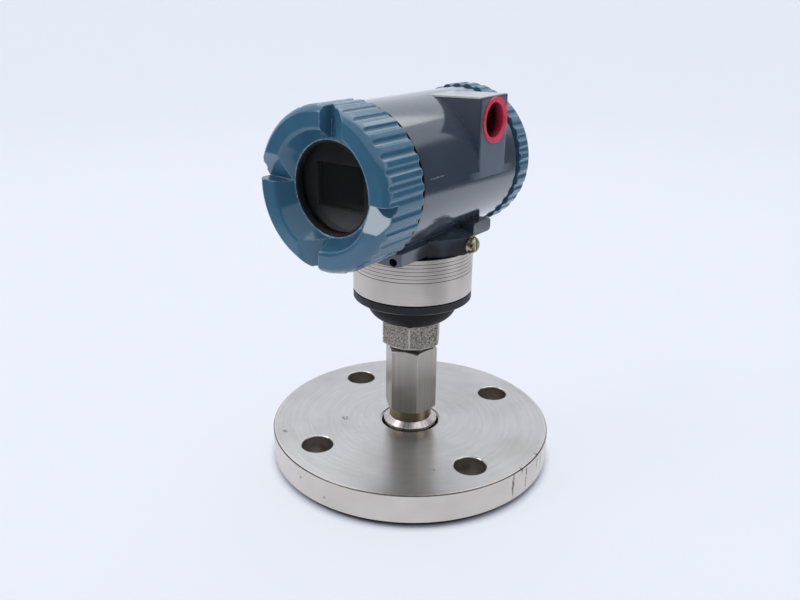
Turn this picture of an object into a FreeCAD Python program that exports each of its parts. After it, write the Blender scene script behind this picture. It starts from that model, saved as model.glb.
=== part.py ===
import FreeCAD, Part
import math
import os
import Sketcher
from types import SimpleNamespace

# Pressure transmitter on a flanged diaphragm seal, in millimetres.
# The origin is the middle of the seal's raised face and +Z runs up the stem.
# The display looks along -Y, and +X is on its right, where the open conduit entry is.

doc = FreeCAD.newDocument("PressureTransmitter")
sheet = doc.addObject("Spreadsheet::Sheet", "Sizes")

sizes = {
    # Process flange and seal
    "flange_dia": 165.0,
    "flange_thickness": 17.0,
    "flange_edge_chamfer": 0.5,
    "bore_lip": 0.8,
    "bore_lip_drop": 1.2,
    "bolt_circle_dia": 125.0,
    "bolt_hole_dia": 18.0,
    "bolt_hole_chamfer": 0.45,
    "bolt_count": 4,
    "bolt_angle": 67.5,
    "raised_face_dia": 102.0,
    "raised_face_height": 3.0,
    "seal_seat_thickness": 5.0,
    "seal_clearance": 0.3,
    "hub_dia": 32.0,
    "hub_clearance": 1.2,
    "hub_rise": 0.8,
    "collar_rise": 3.5,
    "capillary_dia": 5.0,
    "diaphragm_dia": 59.0,
    "diaphragm_thickness": 0.5,
    "diaphragm_recess": 0.8,
    "diaphragm_wave_height": 0.5,
    "diaphragm_fluid_gap": 0.3,
    # Hexagons of the stem
    "adapter_neck_dia": 25.2,
    "adapter_neck_height": 6.2,
    "adapter_flats": 27.0,
    "adapter_height": 39.6,
    "adapter_turn": -41.0,
    "adapter_spigot_dia": 18.0,
    "adapter_spigot_depth": 7.0,
    "process_thread_dia": 20.5,
    "process_thread_length": 8.5,
    "thread_clearance": 0.15,
    "hex_gap": 2.7,
    "process_flats": 32.0,
    "process_height": 14.6,
    "process_turn": 1.3,
    "process_neck_dia": 22.0,
    # Sensor module
    "base_bottom_radius": 14.6,
    "base_top_radius": 26.2,
    "base_rim": 2.2,
    "base_spigot_height": 4.0,
    "ring_radius": 33.7,
    "ring_height": 4.5,
    "ring_edge": 0.5,
    "groove_radius": 31.6,
    "groove_height": 0.9,
    "band_radius": 33.75,
    "band_thickness": 0.8,
    "band_height": 25.4,
    "band_seam": 2.0,
    "module_wall": 3.6,
    "module_roof": 4.0,
    "module_neck_radius": 20.0,
    "module_neck_height": 13.2,
    "module_neck_bore": 11.0,
    "module_fit": 0.1,
    "module_ring_section": 2.4,
    "module_ring_inset": 7.6,
    "capsule_gap": 0.4,
    "capsule_radius": 15.0,
    "capsule_height": 9.0,
    "capsule_stem_radius": 5.0,
    "capsule_stem_height": 6.0,
    "board_radius": 26.0,
    "board_thickness": 1.6,
    # Housing casting
    "housing_gap": 0.5,
    "swivel_clearance": 0.4,
    "barrel_lift": 3.3,
    "barrel_radius": 39.0,
    "barrel_front": 46.4,
    "barrel_rear": 43.0,
    "barrel_wall": 3.7,
    "mouth_chamfer": 2.2,
    "partition_thickness": 6.0,
    "neck_setback": 3.2,
    "neck_side_flat": 6.6,
    "neck_shoulder_width": 48.6,
    "neck_shoulder_reach": 20.5,
    "neck_collar_height": 9.3,
    "neck_roof_height": 3.4,
    "neck_roof_taper": 0.64,
    "lock_block_proud": 0.2,
    "lock_block_rise": 1.6,
    "lock_block_height": 6.6,
    "lock_block_corner": 2.4,
    "lock_roof_height": 3.6,
    "lock_roof_inset": 4.3,
    "socket_wall": 3.2,
    "socket_roof": 3.0,
    "cable_hole_dia": 9.0,
    "cable_hole_offset": 12.0,
    "conduit_block_width": 27.0,
    "conduit_block_proud": 0.5,
    "conduit_block_fall": 1.2,
    "conduit_offset": 16.0,
    "conduit_drop": 12.5,
    "conduit_bore_dia": 21.0,
    "casting_edge": 1.0,
    "blank_boss_dia": 29.0,
    "blank_boss_proud": 2.0,
    "blank_rise": 5.0,
    "lug_setback": 6.0,
    "lug_front": 10.0,
    "lug_width": 18.0,
    "lug_height": 7.2,
    "lug_drop": 28.4,
    "lug_corner": 2.4,
    "ground_boss_dia": 10.0,
    "ground_boss_proud": 0.8,
    "ground_offset": 1.5,
    "set_screw_dia": 4.0,
    "set_screw_angle": 24.0,
    "set_screw_rise": 4.0,
    "set_screw_length": 10.0,
    "set_screw_socket": 2.0,
    "screw_fit": 0.1,
    # Covers
    "cover_gap": 2.6,
    "cover_overhang": 1.6,
    "skirt_clearance": 0.3,
    "cover_skirt_length": 13.0,
    "skirt_wall": 3.5,
    "cover_ring_section": 2.6,
    "cover_ring_groove": 1.8,
    "cover_ring_clearance": 0.3,
    "flute_count": 36,
    "flute_depth": 1.0,
    "flute_radius": 3.0,
    "notch_count": 4,
    "notch_turn": -2.5,
    "front_cover_depth": 28.5,
    "front_edge_drop": 5.0,
    "front_edge_inset": 3.3,
    "front_edge_radius": 6.5,
    "front_flute_end": 0.6,
    "front_notch_depth": 8.8,
    "front_notch_length": 13.5,
    "rim_width": 9.6,
    "rim_round": 2.2,
    "rear_cover_depth": 12.0,
    "rear_cover_roof": 4.0,
    "rear_edge_drop": 3.6,
    "rear_edge_inset": 3.0,
    "rear_edge_radius": 5.0,
    "rear_flute_overrun": 2.4,
    "rear_notch_depth": 2.2,
    "rear_notch_length": 11.0,
    "rear_rim_width": 11.6,
    "rear_dish_depth": 1.6,
    # Window
    "window_lip_lap": 5.6,
    "window_lip_drop": 9.1,
    "window_lip_thickness": 2.1,
    "gasket_sleeve": 1.0,
    "gasket_thickness": 1.0,
    "glass_land": 2.5,
    "glass_thickness": 5.0,
    "glass_clearance": 0.3,
    "retainer_thickness": 3.0,
    "retainer_lap": 3.5,
    # Front compartment
    "post_dia": 9.0,
    "post_inset": 9.0,
    "post_rise": 12.0,
    "post_reach": 24.0,
    "electronics_gap": 0.5,
    "electronics_depth": 12.0,
    "display_foot_radius": 17.0,
    "display_foot_depth": 5.0,
    "display_gap": 5.0,
    "display_depth": 15.6,
    "panel_width_share": 0.755,
    "panel_height_share": 0.453,
    "panel_thickness": 2.5,
    "panel_recess": 0.4,
    "feedthrough_dia": 14.0,
    "feedthrough_reach": 5.0,
    # Rear compartment
    "terminal_width": 42.0,
    "terminal_bottom": -15.0,
    "terminal_top": 13.0,
    "terminal_depth": 15.0,
    "terminal_rib": 1.6,
    "terminal_rib_rise": 3.0,
    "terminal_count": 4,
    "terminal_screw_rise": 3.0,
    "terminal_ear_drop": 9.5,
    "ground_post_dia": 9.0,
    "ground_post_drop": 24.5,
    "ground_post_clear": 1.4,
    # Conduit plugs
    "plug_flange_dia": 23.8,
    "plug_flange_thickness": 0.9,
    "plug_wall": 1.1,
    "plug_mouth": 0.7,
    "plug_depth": 13.0,
    "plug_clearance": 0.3,
    "plug_floor": 1.2,
    "blank_plug_depth": 11.0,
    "blank_plug_recess": 1.0,
    "blank_plug_flats": 10.0,
    "blank_plug_socket": 7.0,
    # Small screws
    "screw_shank_dia": 4.0,
    "screw_shank_length": 7.0,
    "screw_head_dia": 7.6,
    "screw_head_height": 2.8,
    "screw_slot": 1.1,
    "screw_slot_depth": 1.2,
    "ground_head_dia": 8.4,
    "ground_washer_dia": 9.8,
    "ground_washer_thickness": 1.0,
}


class Size:
    # A size that keeps its number together with the sheet formula it comes from.
    def __init__(self, number, formula):
        self.number = number
        self.formula = formula

    def __add__(self, other):
        other = as_size(other)
        return Size(self.number + other.number, f"({self.formula} + {other.formula})")

    def __sub__(self, other):
        other = as_size(other)
        return Size(self.number - other.number, f"({self.formula} - {other.formula})")

    def __mul__(self, other):
        other = as_size(other)
        return Size(self.number * other.number, f"({self.formula} * {other.formula})")

    def __truediv__(self, other):
        other = as_size(other)
        return Size(self.number / other.number, f"({self.formula} / {other.formula})")

    def __neg__(self):
        return Size(-self.number, f"(0 - {self.formula})")


def as_size(value):
    if isinstance(value, Size):
        return value
    return Size(float(value), f"({float(value)})")


named = {}
for row, (alias, number) in enumerate(sizes.items(), start=1):
    sheet.set(f"A{row}", alias)
    sheet.set(f"B{row}", str(number))
    sheet.setAlias(f"B{row}", alias)
    named[alias] = Size(float(number), f"Sizes.{alias}")
d = SimpleNamespace(**named)
doc.recompute()

# Radii and reaches of the housing and covers, each from the barrel's
compartment_radius = d.barrel_radius - d.barrel_wall
skirt_radius = compartment_radius - d.skirt_clearance
cover_bore_radius = skirt_radius - d.skirt_wall
cover_radius = d.barrel_radius + d.cover_overhang
rim_inner_radius = cover_radius - d.rim_width
rear_dish_radius = cover_radius - d.rear_rim_width
glass_radius = cover_bore_radius - d.glass_land
window_lip_radius = glass_radius - d.window_lip_lap
retainer_opening = glass_radius - d.retainer_lap
electronics_radius = cover_bore_radius - d.electronics_gap
post_spread = electronics_radius - d.post_inset
display_radius = cover_bore_radius - d.display_gap
neck_half_width = d.barrel_radius - d.neck_setback
conduit_block_top = d.barrel_radius + d.conduit_block_proud
conduit_rise = conduit_block_top - d.conduit_drop
lug_reach = d.barrel_radius - d.lug_setback
axis_rise = d.barrel_radius + d.barrel_lift

# The inner earth screw's post ends just beyond the wall of the socket for the module's neck
socket_radius = d.module_neck_radius + d.swivel_clearance + d.socket_wall
ground_reach = socket_radius + d.ground_post_clear

# The bowl of the sensor module is a quarter round, so its height follows its two radii
base_bulge = d.base_top_radius - d.base_bottom_radius

# Heights up the stem, each from the one below it
flange_top = d.raised_face_height + d.flange_thickness
seal_top = d.raised_face_height + d.seal_seat_thickness
neck_bottom = flange_top + d.collar_rise
adapter_bottom = neck_bottom + d.adapter_neck_height
adapter_top = adapter_bottom + d.adapter_height
process_bottom = adapter_top + d.hex_gap
process_top = process_bottom + d.process_height
base_top = process_top + base_bulge + d.base_rim
spigot_top = base_top + d.base_spigot_height
capsule_bottom = spigot_top + d.capsule_gap
ring_top = base_top + d.ring_height
band_bottom = ring_top + d.groove_height
band_top = band_bottom + d.band_height
module_top = band_top + d.module_neck_height
housing_bottom = band_top + d.housing_gap
barrel_axis = housing_bottom + axis_rise

# Face of the earth screw's boss, just beyond the side of the neck
ground_face = neck_half_width + d.ground_boss_proud

# Distances along the barrel, measured outwards from the stem axis
front_cover_back = d.barrel_front + d.cover_gap
rear_cover_back = d.barrel_rear + d.cover_gap
half_partition = d.partition_thickness / 2
lip_front = front_cover_back + d.front_cover_depth - d.window_lip_drop
lip_back = lip_front - d.window_lip_thickness
glass_front = lip_back - d.gasket_thickness
glass_back = glass_front - d.glass_thickness
electronics_front = d.post_reach + d.electronics_depth
display_front = electronics_front + d.display_foot_depth + d.display_depth

upright = FreeCAD.Rotation()
to_front = FreeCAD.Rotation(FreeCAD.Vector(1, 0, 0), 90)
to_rear = FreeCAD.Rotation(FreeCAD.Vector(1, 0, 0), -90)
to_right = FreeCAD.Rotation(FreeCAD.Vector(0, 1, 0), 90)
to_left = FreeCAD.Rotation(FreeCAD.Vector(0, 1, 0), -90)


def spun(rotation, degrees):
    # The rotation after a turn about the piece's own axis.
    return rotation.multiply(FreeCAD.Rotation(FreeCAD.Vector(0, 0, 1), degrees))


sub_parts = []


def new_body(label):
    body = doc.addObject("PartDesign::Body", label)
    body.Label = label
    return body


def place(item, x=0, y=0, z=0, rotation=upright):
    # Puts an item at a point whose coordinates stay tied to the sheet.
    point = [as_size(x), as_size(y), as_size(z)]
    base = FreeCAD.Vector(*[c.number for c in point])
    item.Placement = FreeCAD.Placement(base, rotation)
    for letter, coordinate in zip("xyz", point):
        if "Sizes" in coordinate.formula:
            item.setExpression(f"Placement.Base.{letter}", coordinate.formula)
    return item


def attach(body, name, plane_role, offset=None):
    sketch = body.newObject("Sketcher::SketchObject", name)
    plane = [f for f in body.Origin.OriginFeatures if f.Role == plane_role][0]
    sketch.AttachmentSupport = [(plane, "")]
    sketch.MapMode = "FlatFace"
    if offset is not None:
        sketch.setExpression("AttachmentOffset.Base.z", as_size(offset).formula)
    return sketch


def arc_middle(start, end, radius):
    # Point half way along a minor arc: a positive radius bulges to the right of the way.
    chord = end - start
    half = chord.Length / 2
    sagitta = abs(radius) - math.sqrt(max(radius * radius - half * half, 0.0))
    side = FreeCAD.Vector(chord.y, -chord.x, 0).normalize()
    return (start + end) * 0.5 + side * math.copysign(sagitta, radius)


def tie_point(sketch, geometry, corner, coordinates, rules, formulas):
    # Fixes one corner of an outline to its two coordinates.
    for kind, axis, size in zip(("DistanceX", "DistanceY"), (-2, -1), coordinates):
        size = as_size(size)
        if size.number == 0 and "Sizes" not in size.formula:
            rules.append(Sketcher.Constraint("PointOnObject", geometry, corner, axis))
        else:
            formulas[len(rules)] = size.formula
            rules.append(Sketcher.Constraint(kind, -1, 1, geometry, corner, size.number))


def outline(body, name, plane_role, points, offset=None):
    # A closed outline. A third value at a point is the radius of the arc that leads to it.
    sketch = attach(body, name, plane_role, offset)
    corners = [FreeCAD.Vector(as_size(p[0]).number, as_size(p[1]).number, 0) for p in points]
    ends = []
    rules = []
    formulas = {}
    for index, start in enumerate(corners):
        following = (index + 1) % len(points)
        end = corners[following]
        radius = as_size(points[following][2]) if len(points[following]) > 2 else None
        if radius is None:
            geometry = sketch.addGeometry(Part.LineSegment(start, end), False)
        else:
            middle = arc_middle(start, end, radius.number)
            geometry = sketch.addGeometry(Part.Arc(start, middle, end), False)
        first = 1 if (sketch.getPoint(geometry, 1) - start).Length < 1e-6 else 2
        ends.append((geometry, first, 3 - first))
        if radius is not None:
            size = radius if radius.number > 0 else -radius
            formulas[len(rules)] = size.formula
            rules.append(Sketcher.Constraint("Radius", geometry, size.number))
    for index, (geometry, first, last) in enumerate(ends):
        before, _, before_last = ends[index - 1]
        rules.append(Sketcher.Constraint("Coincident", before, before_last, geometry, first))
        tie_point(sketch, geometry, first, points[index][:2], rules, formulas)
    sketch.addConstraint(rules)
    for index, formula in formulas.items():
        sketch.setExpression(f"Constraints[{index}]", formula)
    return sketch


def circles(body, name, plane_role, radius, centres, offset=None):
    sketch = attach(body, name, plane_role, offset)
    rules = []
    formulas = {}
    for centre in centres:
        middle = FreeCAD.Vector(as_size(centre[0]).number, as_size(centre[1]).number, 0)
        circle = Part.Circle(middle, FreeCAD.Vector(0, 0, 1), radius.number)
        geometry = sketch.addGeometry(circle, False)
        formulas[len(rules)] = radius.formula
        rules.append(Sketcher.Constraint("Radius", geometry, radius.number))
        tie_point(sketch, geometry, 3, centre, rules, formulas)
    sketch.addConstraint(rules)
    for index, formula in formulas.items():
        sketch.setExpression(f"Constraints[{index}]", formula)
    return sketch


def turn(body, name, points, cut=False, plane_role="XZ_Plane", axis="V_Axis"):
    # Revolves an outline of (radius, height) points, to add or to cut.
    kind = "PartDesign::Groove" if cut else "PartDesign::Revolution"
    sketch = outline(body, name + "_outline", plane_role, points)
    feature = body.newObject(kind, name)
    feature.Profile = sketch
    feature.ReferenceAxis = (sketch, [axis])
    feature.Angle = 360
    return feature


def pad(body, name, sketch, length, reverse=False):
    feature = body.newObject("PartDesign::Pad", name)
    feature.Profile = sketch
    feature.setExpression("Length", as_size(length).formula)
    feature.Reversed = reverse
    return feature


def pocket(body, name, sketch, length, reverse=False, both_ways=False):
    feature = body.newObject("PartDesign::Pocket", name)
    feature.Profile = sketch
    feature.setExpression("Length", as_size(length).formula)
    feature.Reversed = reverse
    feature.Midplane = both_ways
    return feature


def repeat(body, name, feature, count):
    # Copies a feature round the body's own Z axis.
    pattern = body.newObject("PartDesign::PolarPattern", name)
    pattern.Originals = [feature]
    pattern.Axis = ([f for f in body.Origin.OriginFeatures if f.Role == "Z_Axis"][0], [""])
    pattern.Angle = 360
    pattern.setExpression("Occurrences", count.formula)
    body.Tip = pattern
    return pattern


def bevel(body, name, kind, base, chosen, size):
    # Rounds or chamfers the edges that a test picks from the base feature.
    doc.recompute()
    edges = [f"Edge{n}" for n, edge in enumerate(base.Shape.Edges, start=1) if chosen(edge)]
    feature = body.newObject(f"PartDesign::{kind}", name)
    feature.Base = (base, edges)
    feature.setExpression("Radius" if kind == "Fillet" else "Size", size.formula)
    body.Tip = feature
    return feature


def box_points(left, low, right, high):
    return [(left, low), (right, low), (right, high), (left, high)]


root_three = math.sqrt(3.0)


def hexagon(across_flats):
    # Corners of a hexagon with one corner on the sketch's X axis.
    corner = across_flats / root_three
    side = across_flats / 2
    return [
        (corner, 0), (corner / 2, side), (-corner / 2, side),
        (-corner, 0), (-corner / 2, -side), (corner / 2, -side),
    ]


def finish(item):
    sub_parts.append(item)
    return item


def turned_piece(label, points):
    body = new_body(label)
    turn(body, label + "_turn", points)
    return finish(body)


# Loose flange: counterbored for the seal disc, stepped at its bore, with four chamfered bolt holes
def make_flange():
    body = new_body("mounting_flange")
    outer = d.flange_dia / 2
    lip = d.hub_dia / 2 + d.hub_clearance
    lip_top = flange_top - d.bore_lip_drop
    bore = lip + d.bore_lip
    seat = d.raised_face_dia / 2 + d.seal_clearance
    ceiling = seal_top + d.seal_clearance
    edge = d.flange_edge_chamfer
    disc = turn(body, "flange_disc", [
        (lip, ceiling), (seat, ceiling), (seat, d.raised_face_height),
        (outer - edge, d.raised_face_height), (outer, d.raised_face_height + edge),
        (outer, flange_top - edge), (outer - edge, flange_top), (bore, flange_top),
        (bore, lip_top), (lip, lip_top),
    ])
    sketch = circles(body, "bolt_hole_outline", "XY_Plane", d.bolt_hole_dia / 2,
                     [(d.bolt_circle_dia / 2, 0)])
    hole = pocket(body, "bolt_hole", sketch, flange_top + edge, reverse=True)
    pattern = repeat(body, "bolt_holes", hole, d.bolt_count)
    hole_radius = d.bolt_hole_dia.number / 2

    def rim(edge_shape):
        curve = edge_shape.Curve
        if not isinstance(curve, Part.Circle):
            return False
        return abs(curve.Radius - hole_radius) < 1e-4
    bevel(body, "bolt_hole_edges", "Chamfer", pattern, rim, d.bolt_hole_chamfer)
    place(body, rotation=spun(upright, d.bolt_angle.number))
    return finish(body)


# Seal: disc with the raised face, hub, weld collar and a recess for the diaphragm
def make_seal():
    disc = d.raised_face_dia / 2
    hub = d.hub_dia / 2
    spigot = d.adapter_spigot_dia / 2 + d.thread_clearance
    recess = d.diaphragm_dia / 2 + d.thread_clearance
    chamber = d.diaphragm_recess + d.diaphragm_thickness
    neck = d.adapter_neck_dia / 2
    turned_piece("seal_hub", [
        (d.capillary_dia / 2, chamber + d.diaphragm_wave_height + d.diaphragm_fluid_gap),
        (recess - d.raised_face_height, chamber + d.diaphragm_wave_height + d.diaphragm_fluid_gap),
        (recess, chamber), (recess, 0), (disc, 0), (disc, seal_top), (hub, seal_top),
        (hub, flange_top + d.hub_rise), (neck, neck_bottom), (spigot, neck_bottom),
        (spigot, neck_bottom - d.adapter_spigot_depth),
        (d.capillary_dia / 2, neck_bottom - d.adapter_spigot_depth),
    ])
    # Thin plate with ring waves, closed by a rim that sits in the recess
    waves = 3
    rim = d.diaphragm_dia / 2
    wave = (rim - d.capillary_dia * 2) / (2 * waves + 1)
    lower = []
    upper = []
    for step in range(2 * waves + 1):
        rise = d.diaphragm_wave_height * (step % 2)
        radius = d.capillary_dia * 2 + wave * step
        lower.append((radius, d.diaphragm_recess + rise))
        upper.append((radius, chamber + rise))
    turned_piece("seal_diaphragm", [(0, d.diaphragm_recess)] + lower
                 + [(rim, d.diaphragm_recess), (rim, chamber)] + upper[::-1] + [(0, chamber)])


def hex_chamfer(body, name, across_flats, end, inward):
    # Turns one end of a hexagon down to its flats at thirty degrees.
    flat = across_flats / 2
    beyond = across_flats / root_three + 1
    slope = (beyond - flat) / root_three * inward
    turn(body, name, [(flat, end), (beyond, end), (beyond, end + slope)], cut=True)


# Long hexagon: spigot and neck below, male thread above, bored through
def make_adapter():
    body = new_body("hex_adapter")
    sketch = outline(body, "adapter_hexagon", "XY_Plane", hexagon(d.adapter_flats), adapter_bottom)
    pad(body, "adapter_bar", sketch, d.adapter_height)
    hex_chamfer(body, "adapter_low_chamfer", d.adapter_flats, adapter_bottom, 1)
    hex_chamfer(body, "adapter_high_chamfer", d.adapter_flats, adapter_top, -1)
    spigot = d.adapter_spigot_dia / 2
    neck = d.adapter_neck_dia / 2
    thread = d.process_thread_dia / 2
    turn(body, "adapter_neck", [
        (0, neck_bottom - d.adapter_spigot_depth), (spigot, neck_bottom - d.adapter_spigot_depth),
        (spigot, neck_bottom), (neck, neck_bottom), (neck, adapter_bottom), (0, adapter_bottom),
    ])
    thread_top = process_bottom + d.process_thread_length
    turn(body, "adapter_thread", box_points(0, adapter_top, thread, thread_top))
    turn(body, "adapter_bore", box_points(0, neck_bottom - d.adapter_spigot_depth,
                                          d.capillary_dia / 2, thread_top), cut=True)
    place(body, rotation=spun(upright, d.adapter_turn.number))
    return finish(body)


# Short cast hexagon: female thread below, neck up into the sensor module
def make_process_hex():
    body = new_body("process_hex")
    sketch = outline(body, "process_hexagon", "XY_Plane", hexagon(d.process_flats), process_bottom)
    pad(body, "process_bar", sketch, d.process_height)
    hex_chamfer(body, "process_chamfer", d.process_flats, process_bottom, 1)
    neck = d.process_neck_dia / 2
    turn(body, "process_neck", box_points(0, process_top, neck, capsule_bottom))
    thread = d.process_thread_dia / 2 + d.thread_clearance
    thread_top = process_bottom + d.process_thread_length + d.thread_clearance
    turn(body, "process_bore", [
        (0, process_bottom), (thread, process_bottom), (thread, thread_top),
        (d.capillary_dia / 2, thread_top), (d.capillary_dia / 2, capsule_bottom), (0, capsule_bottom),
    ], cut=True)
    place(body, rotation=spun(upright, d.process_turn.number))
    return finish(body)


# Sensor module: bowl below, can with a painted ring and a threaded neck, band round the can
def make_module():
    neck = d.process_neck_dia / 2 + d.module_fit
    spigot = d.base_top_radius - d.module_wall
    turned_piece("module_base", [
        (neck, process_top), (d.base_bottom_radius, process_top),
        (d.base_top_radius, process_top + base_bulge, base_bulge), (d.base_top_radius, base_top),
        (spigot, base_top), (spigot, spigot_top), (neck, spigot_top),
    ])
    can = d.band_radius - d.band_thickness - d.module_fit
    inside = can - d.module_wall
    mouth = spigot + d.module_fit
    roof = band_top - d.module_roof
    ring_floor = spigot_top + d.module_wall
    seal_floor = d.module_neck_radius - d.module_ring_section
    seal_low = band_top + d.module_ring_inset
    seal_high = seal_low + d.module_ring_section + d.module_fit * 2
    turned_piece("sensor_module", [
        (mouth, base_top), (d.ring_radius - d.ring_edge, base_top), (d.ring_radius, base_top + d.ring_edge),
        (d.ring_radius, ring_top), (d.groove_radius, ring_top), (d.groove_radius, band_bottom),
        (can, band_bottom), (can, band_top), (d.module_neck_radius, band_top),
        (d.module_neck_radius, seal_low), (seal_floor, seal_low), (seal_floor, seal_high),
        (d.module_neck_radius, seal_high), (d.module_neck_radius, module_top),
        (d.module_neck_bore, module_top), (d.module_neck_bore, roof), (inside, roof),
        (inside, ring_floor), (mouth, ring_floor),
    ])
    section = d.module_ring_section / 2
    ring_middle = seal_low + section + d.module_fit
    ring_radius = d.module_neck_radius - section + d.module_fit
    body = new_body("module_o_ring")
    sketch = circles(body, "module_ring_section", "XZ_Plane", section, [(ring_radius, ring_middle)])
    ring = body.newObject("PartDesign::Revolution", "module_ring_turn")
    ring.Profile = sketch
    ring.ReferenceAxis = (sketch, ["V_Axis"])
    ring.Angle = 360
    finish(body)
    # Band: rolled strip whose two ends leave a narrow seam at the back
    body = new_body("nameplate_band")
    turn(body, "band_turn", box_points(d.band_radius - d.band_thickness, band_bottom,
                                       d.band_radius, band_top))
    seam = outline(body, "band_seam_outline", "XZ_Plane",
                   box_points(-d.band_seam / 2, band_bottom - 1, d.band_seam / 2, band_top + 1))
    pocket(body, "band_seam", seam, d.band_radius + 1)
    finish(body)
    # Capsule on the neck of the short hexagon, with the sensor board on its stem
    capsule_top = capsule_bottom + d.capsule_height
    board_bottom = capsule_top + d.capsule_stem_height
    turned_piece("pressure_capsule", [
        (0, capsule_bottom), (d.capsule_radius, capsule_bottom), (d.capsule_radius, capsule_top),
        (d.capsule_stem_radius, capsule_top), (d.capsule_stem_radius, board_bottom), (0, board_bottom),
    ])
    turned_piece("sensor_board", box_points(0, board_bottom, d.board_radius,
                                            board_bottom + d.board_thickness))


def neck_outline(body, name, height, taper=1):
    # Section of the housing's neck: a flat at each side and slanting faces up to the shoulders.
    wide = neck_half_width * taper
    flat = d.neck_side_flat / 2 * taper
    shoulder = d.neck_shoulder_width / 2 * taper
    reach = d.neck_shoulder_reach * taper
    return outline(body, name, "XY_Plane", [
        (wide, -flat), (wide, flat), (shoulder, reach), (-shoulder, reach),
        (-wide, flat), (-wide, -flat), (-shoulder, -reach), (shoulder, -reach),
    ], height)


def lock_outline(body, name, half, front, height):
    # Section of the block that carries the set screw: two corners cut off at the front.
    corner = d.lock_block_corner
    return outline(body, name, "XY_Plane", [
        (-half, 0), (-half, corner - front), (corner - half, -front),
        (half - corner, -front), (half, corner - front), (half, 0),
    ], height)


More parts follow.
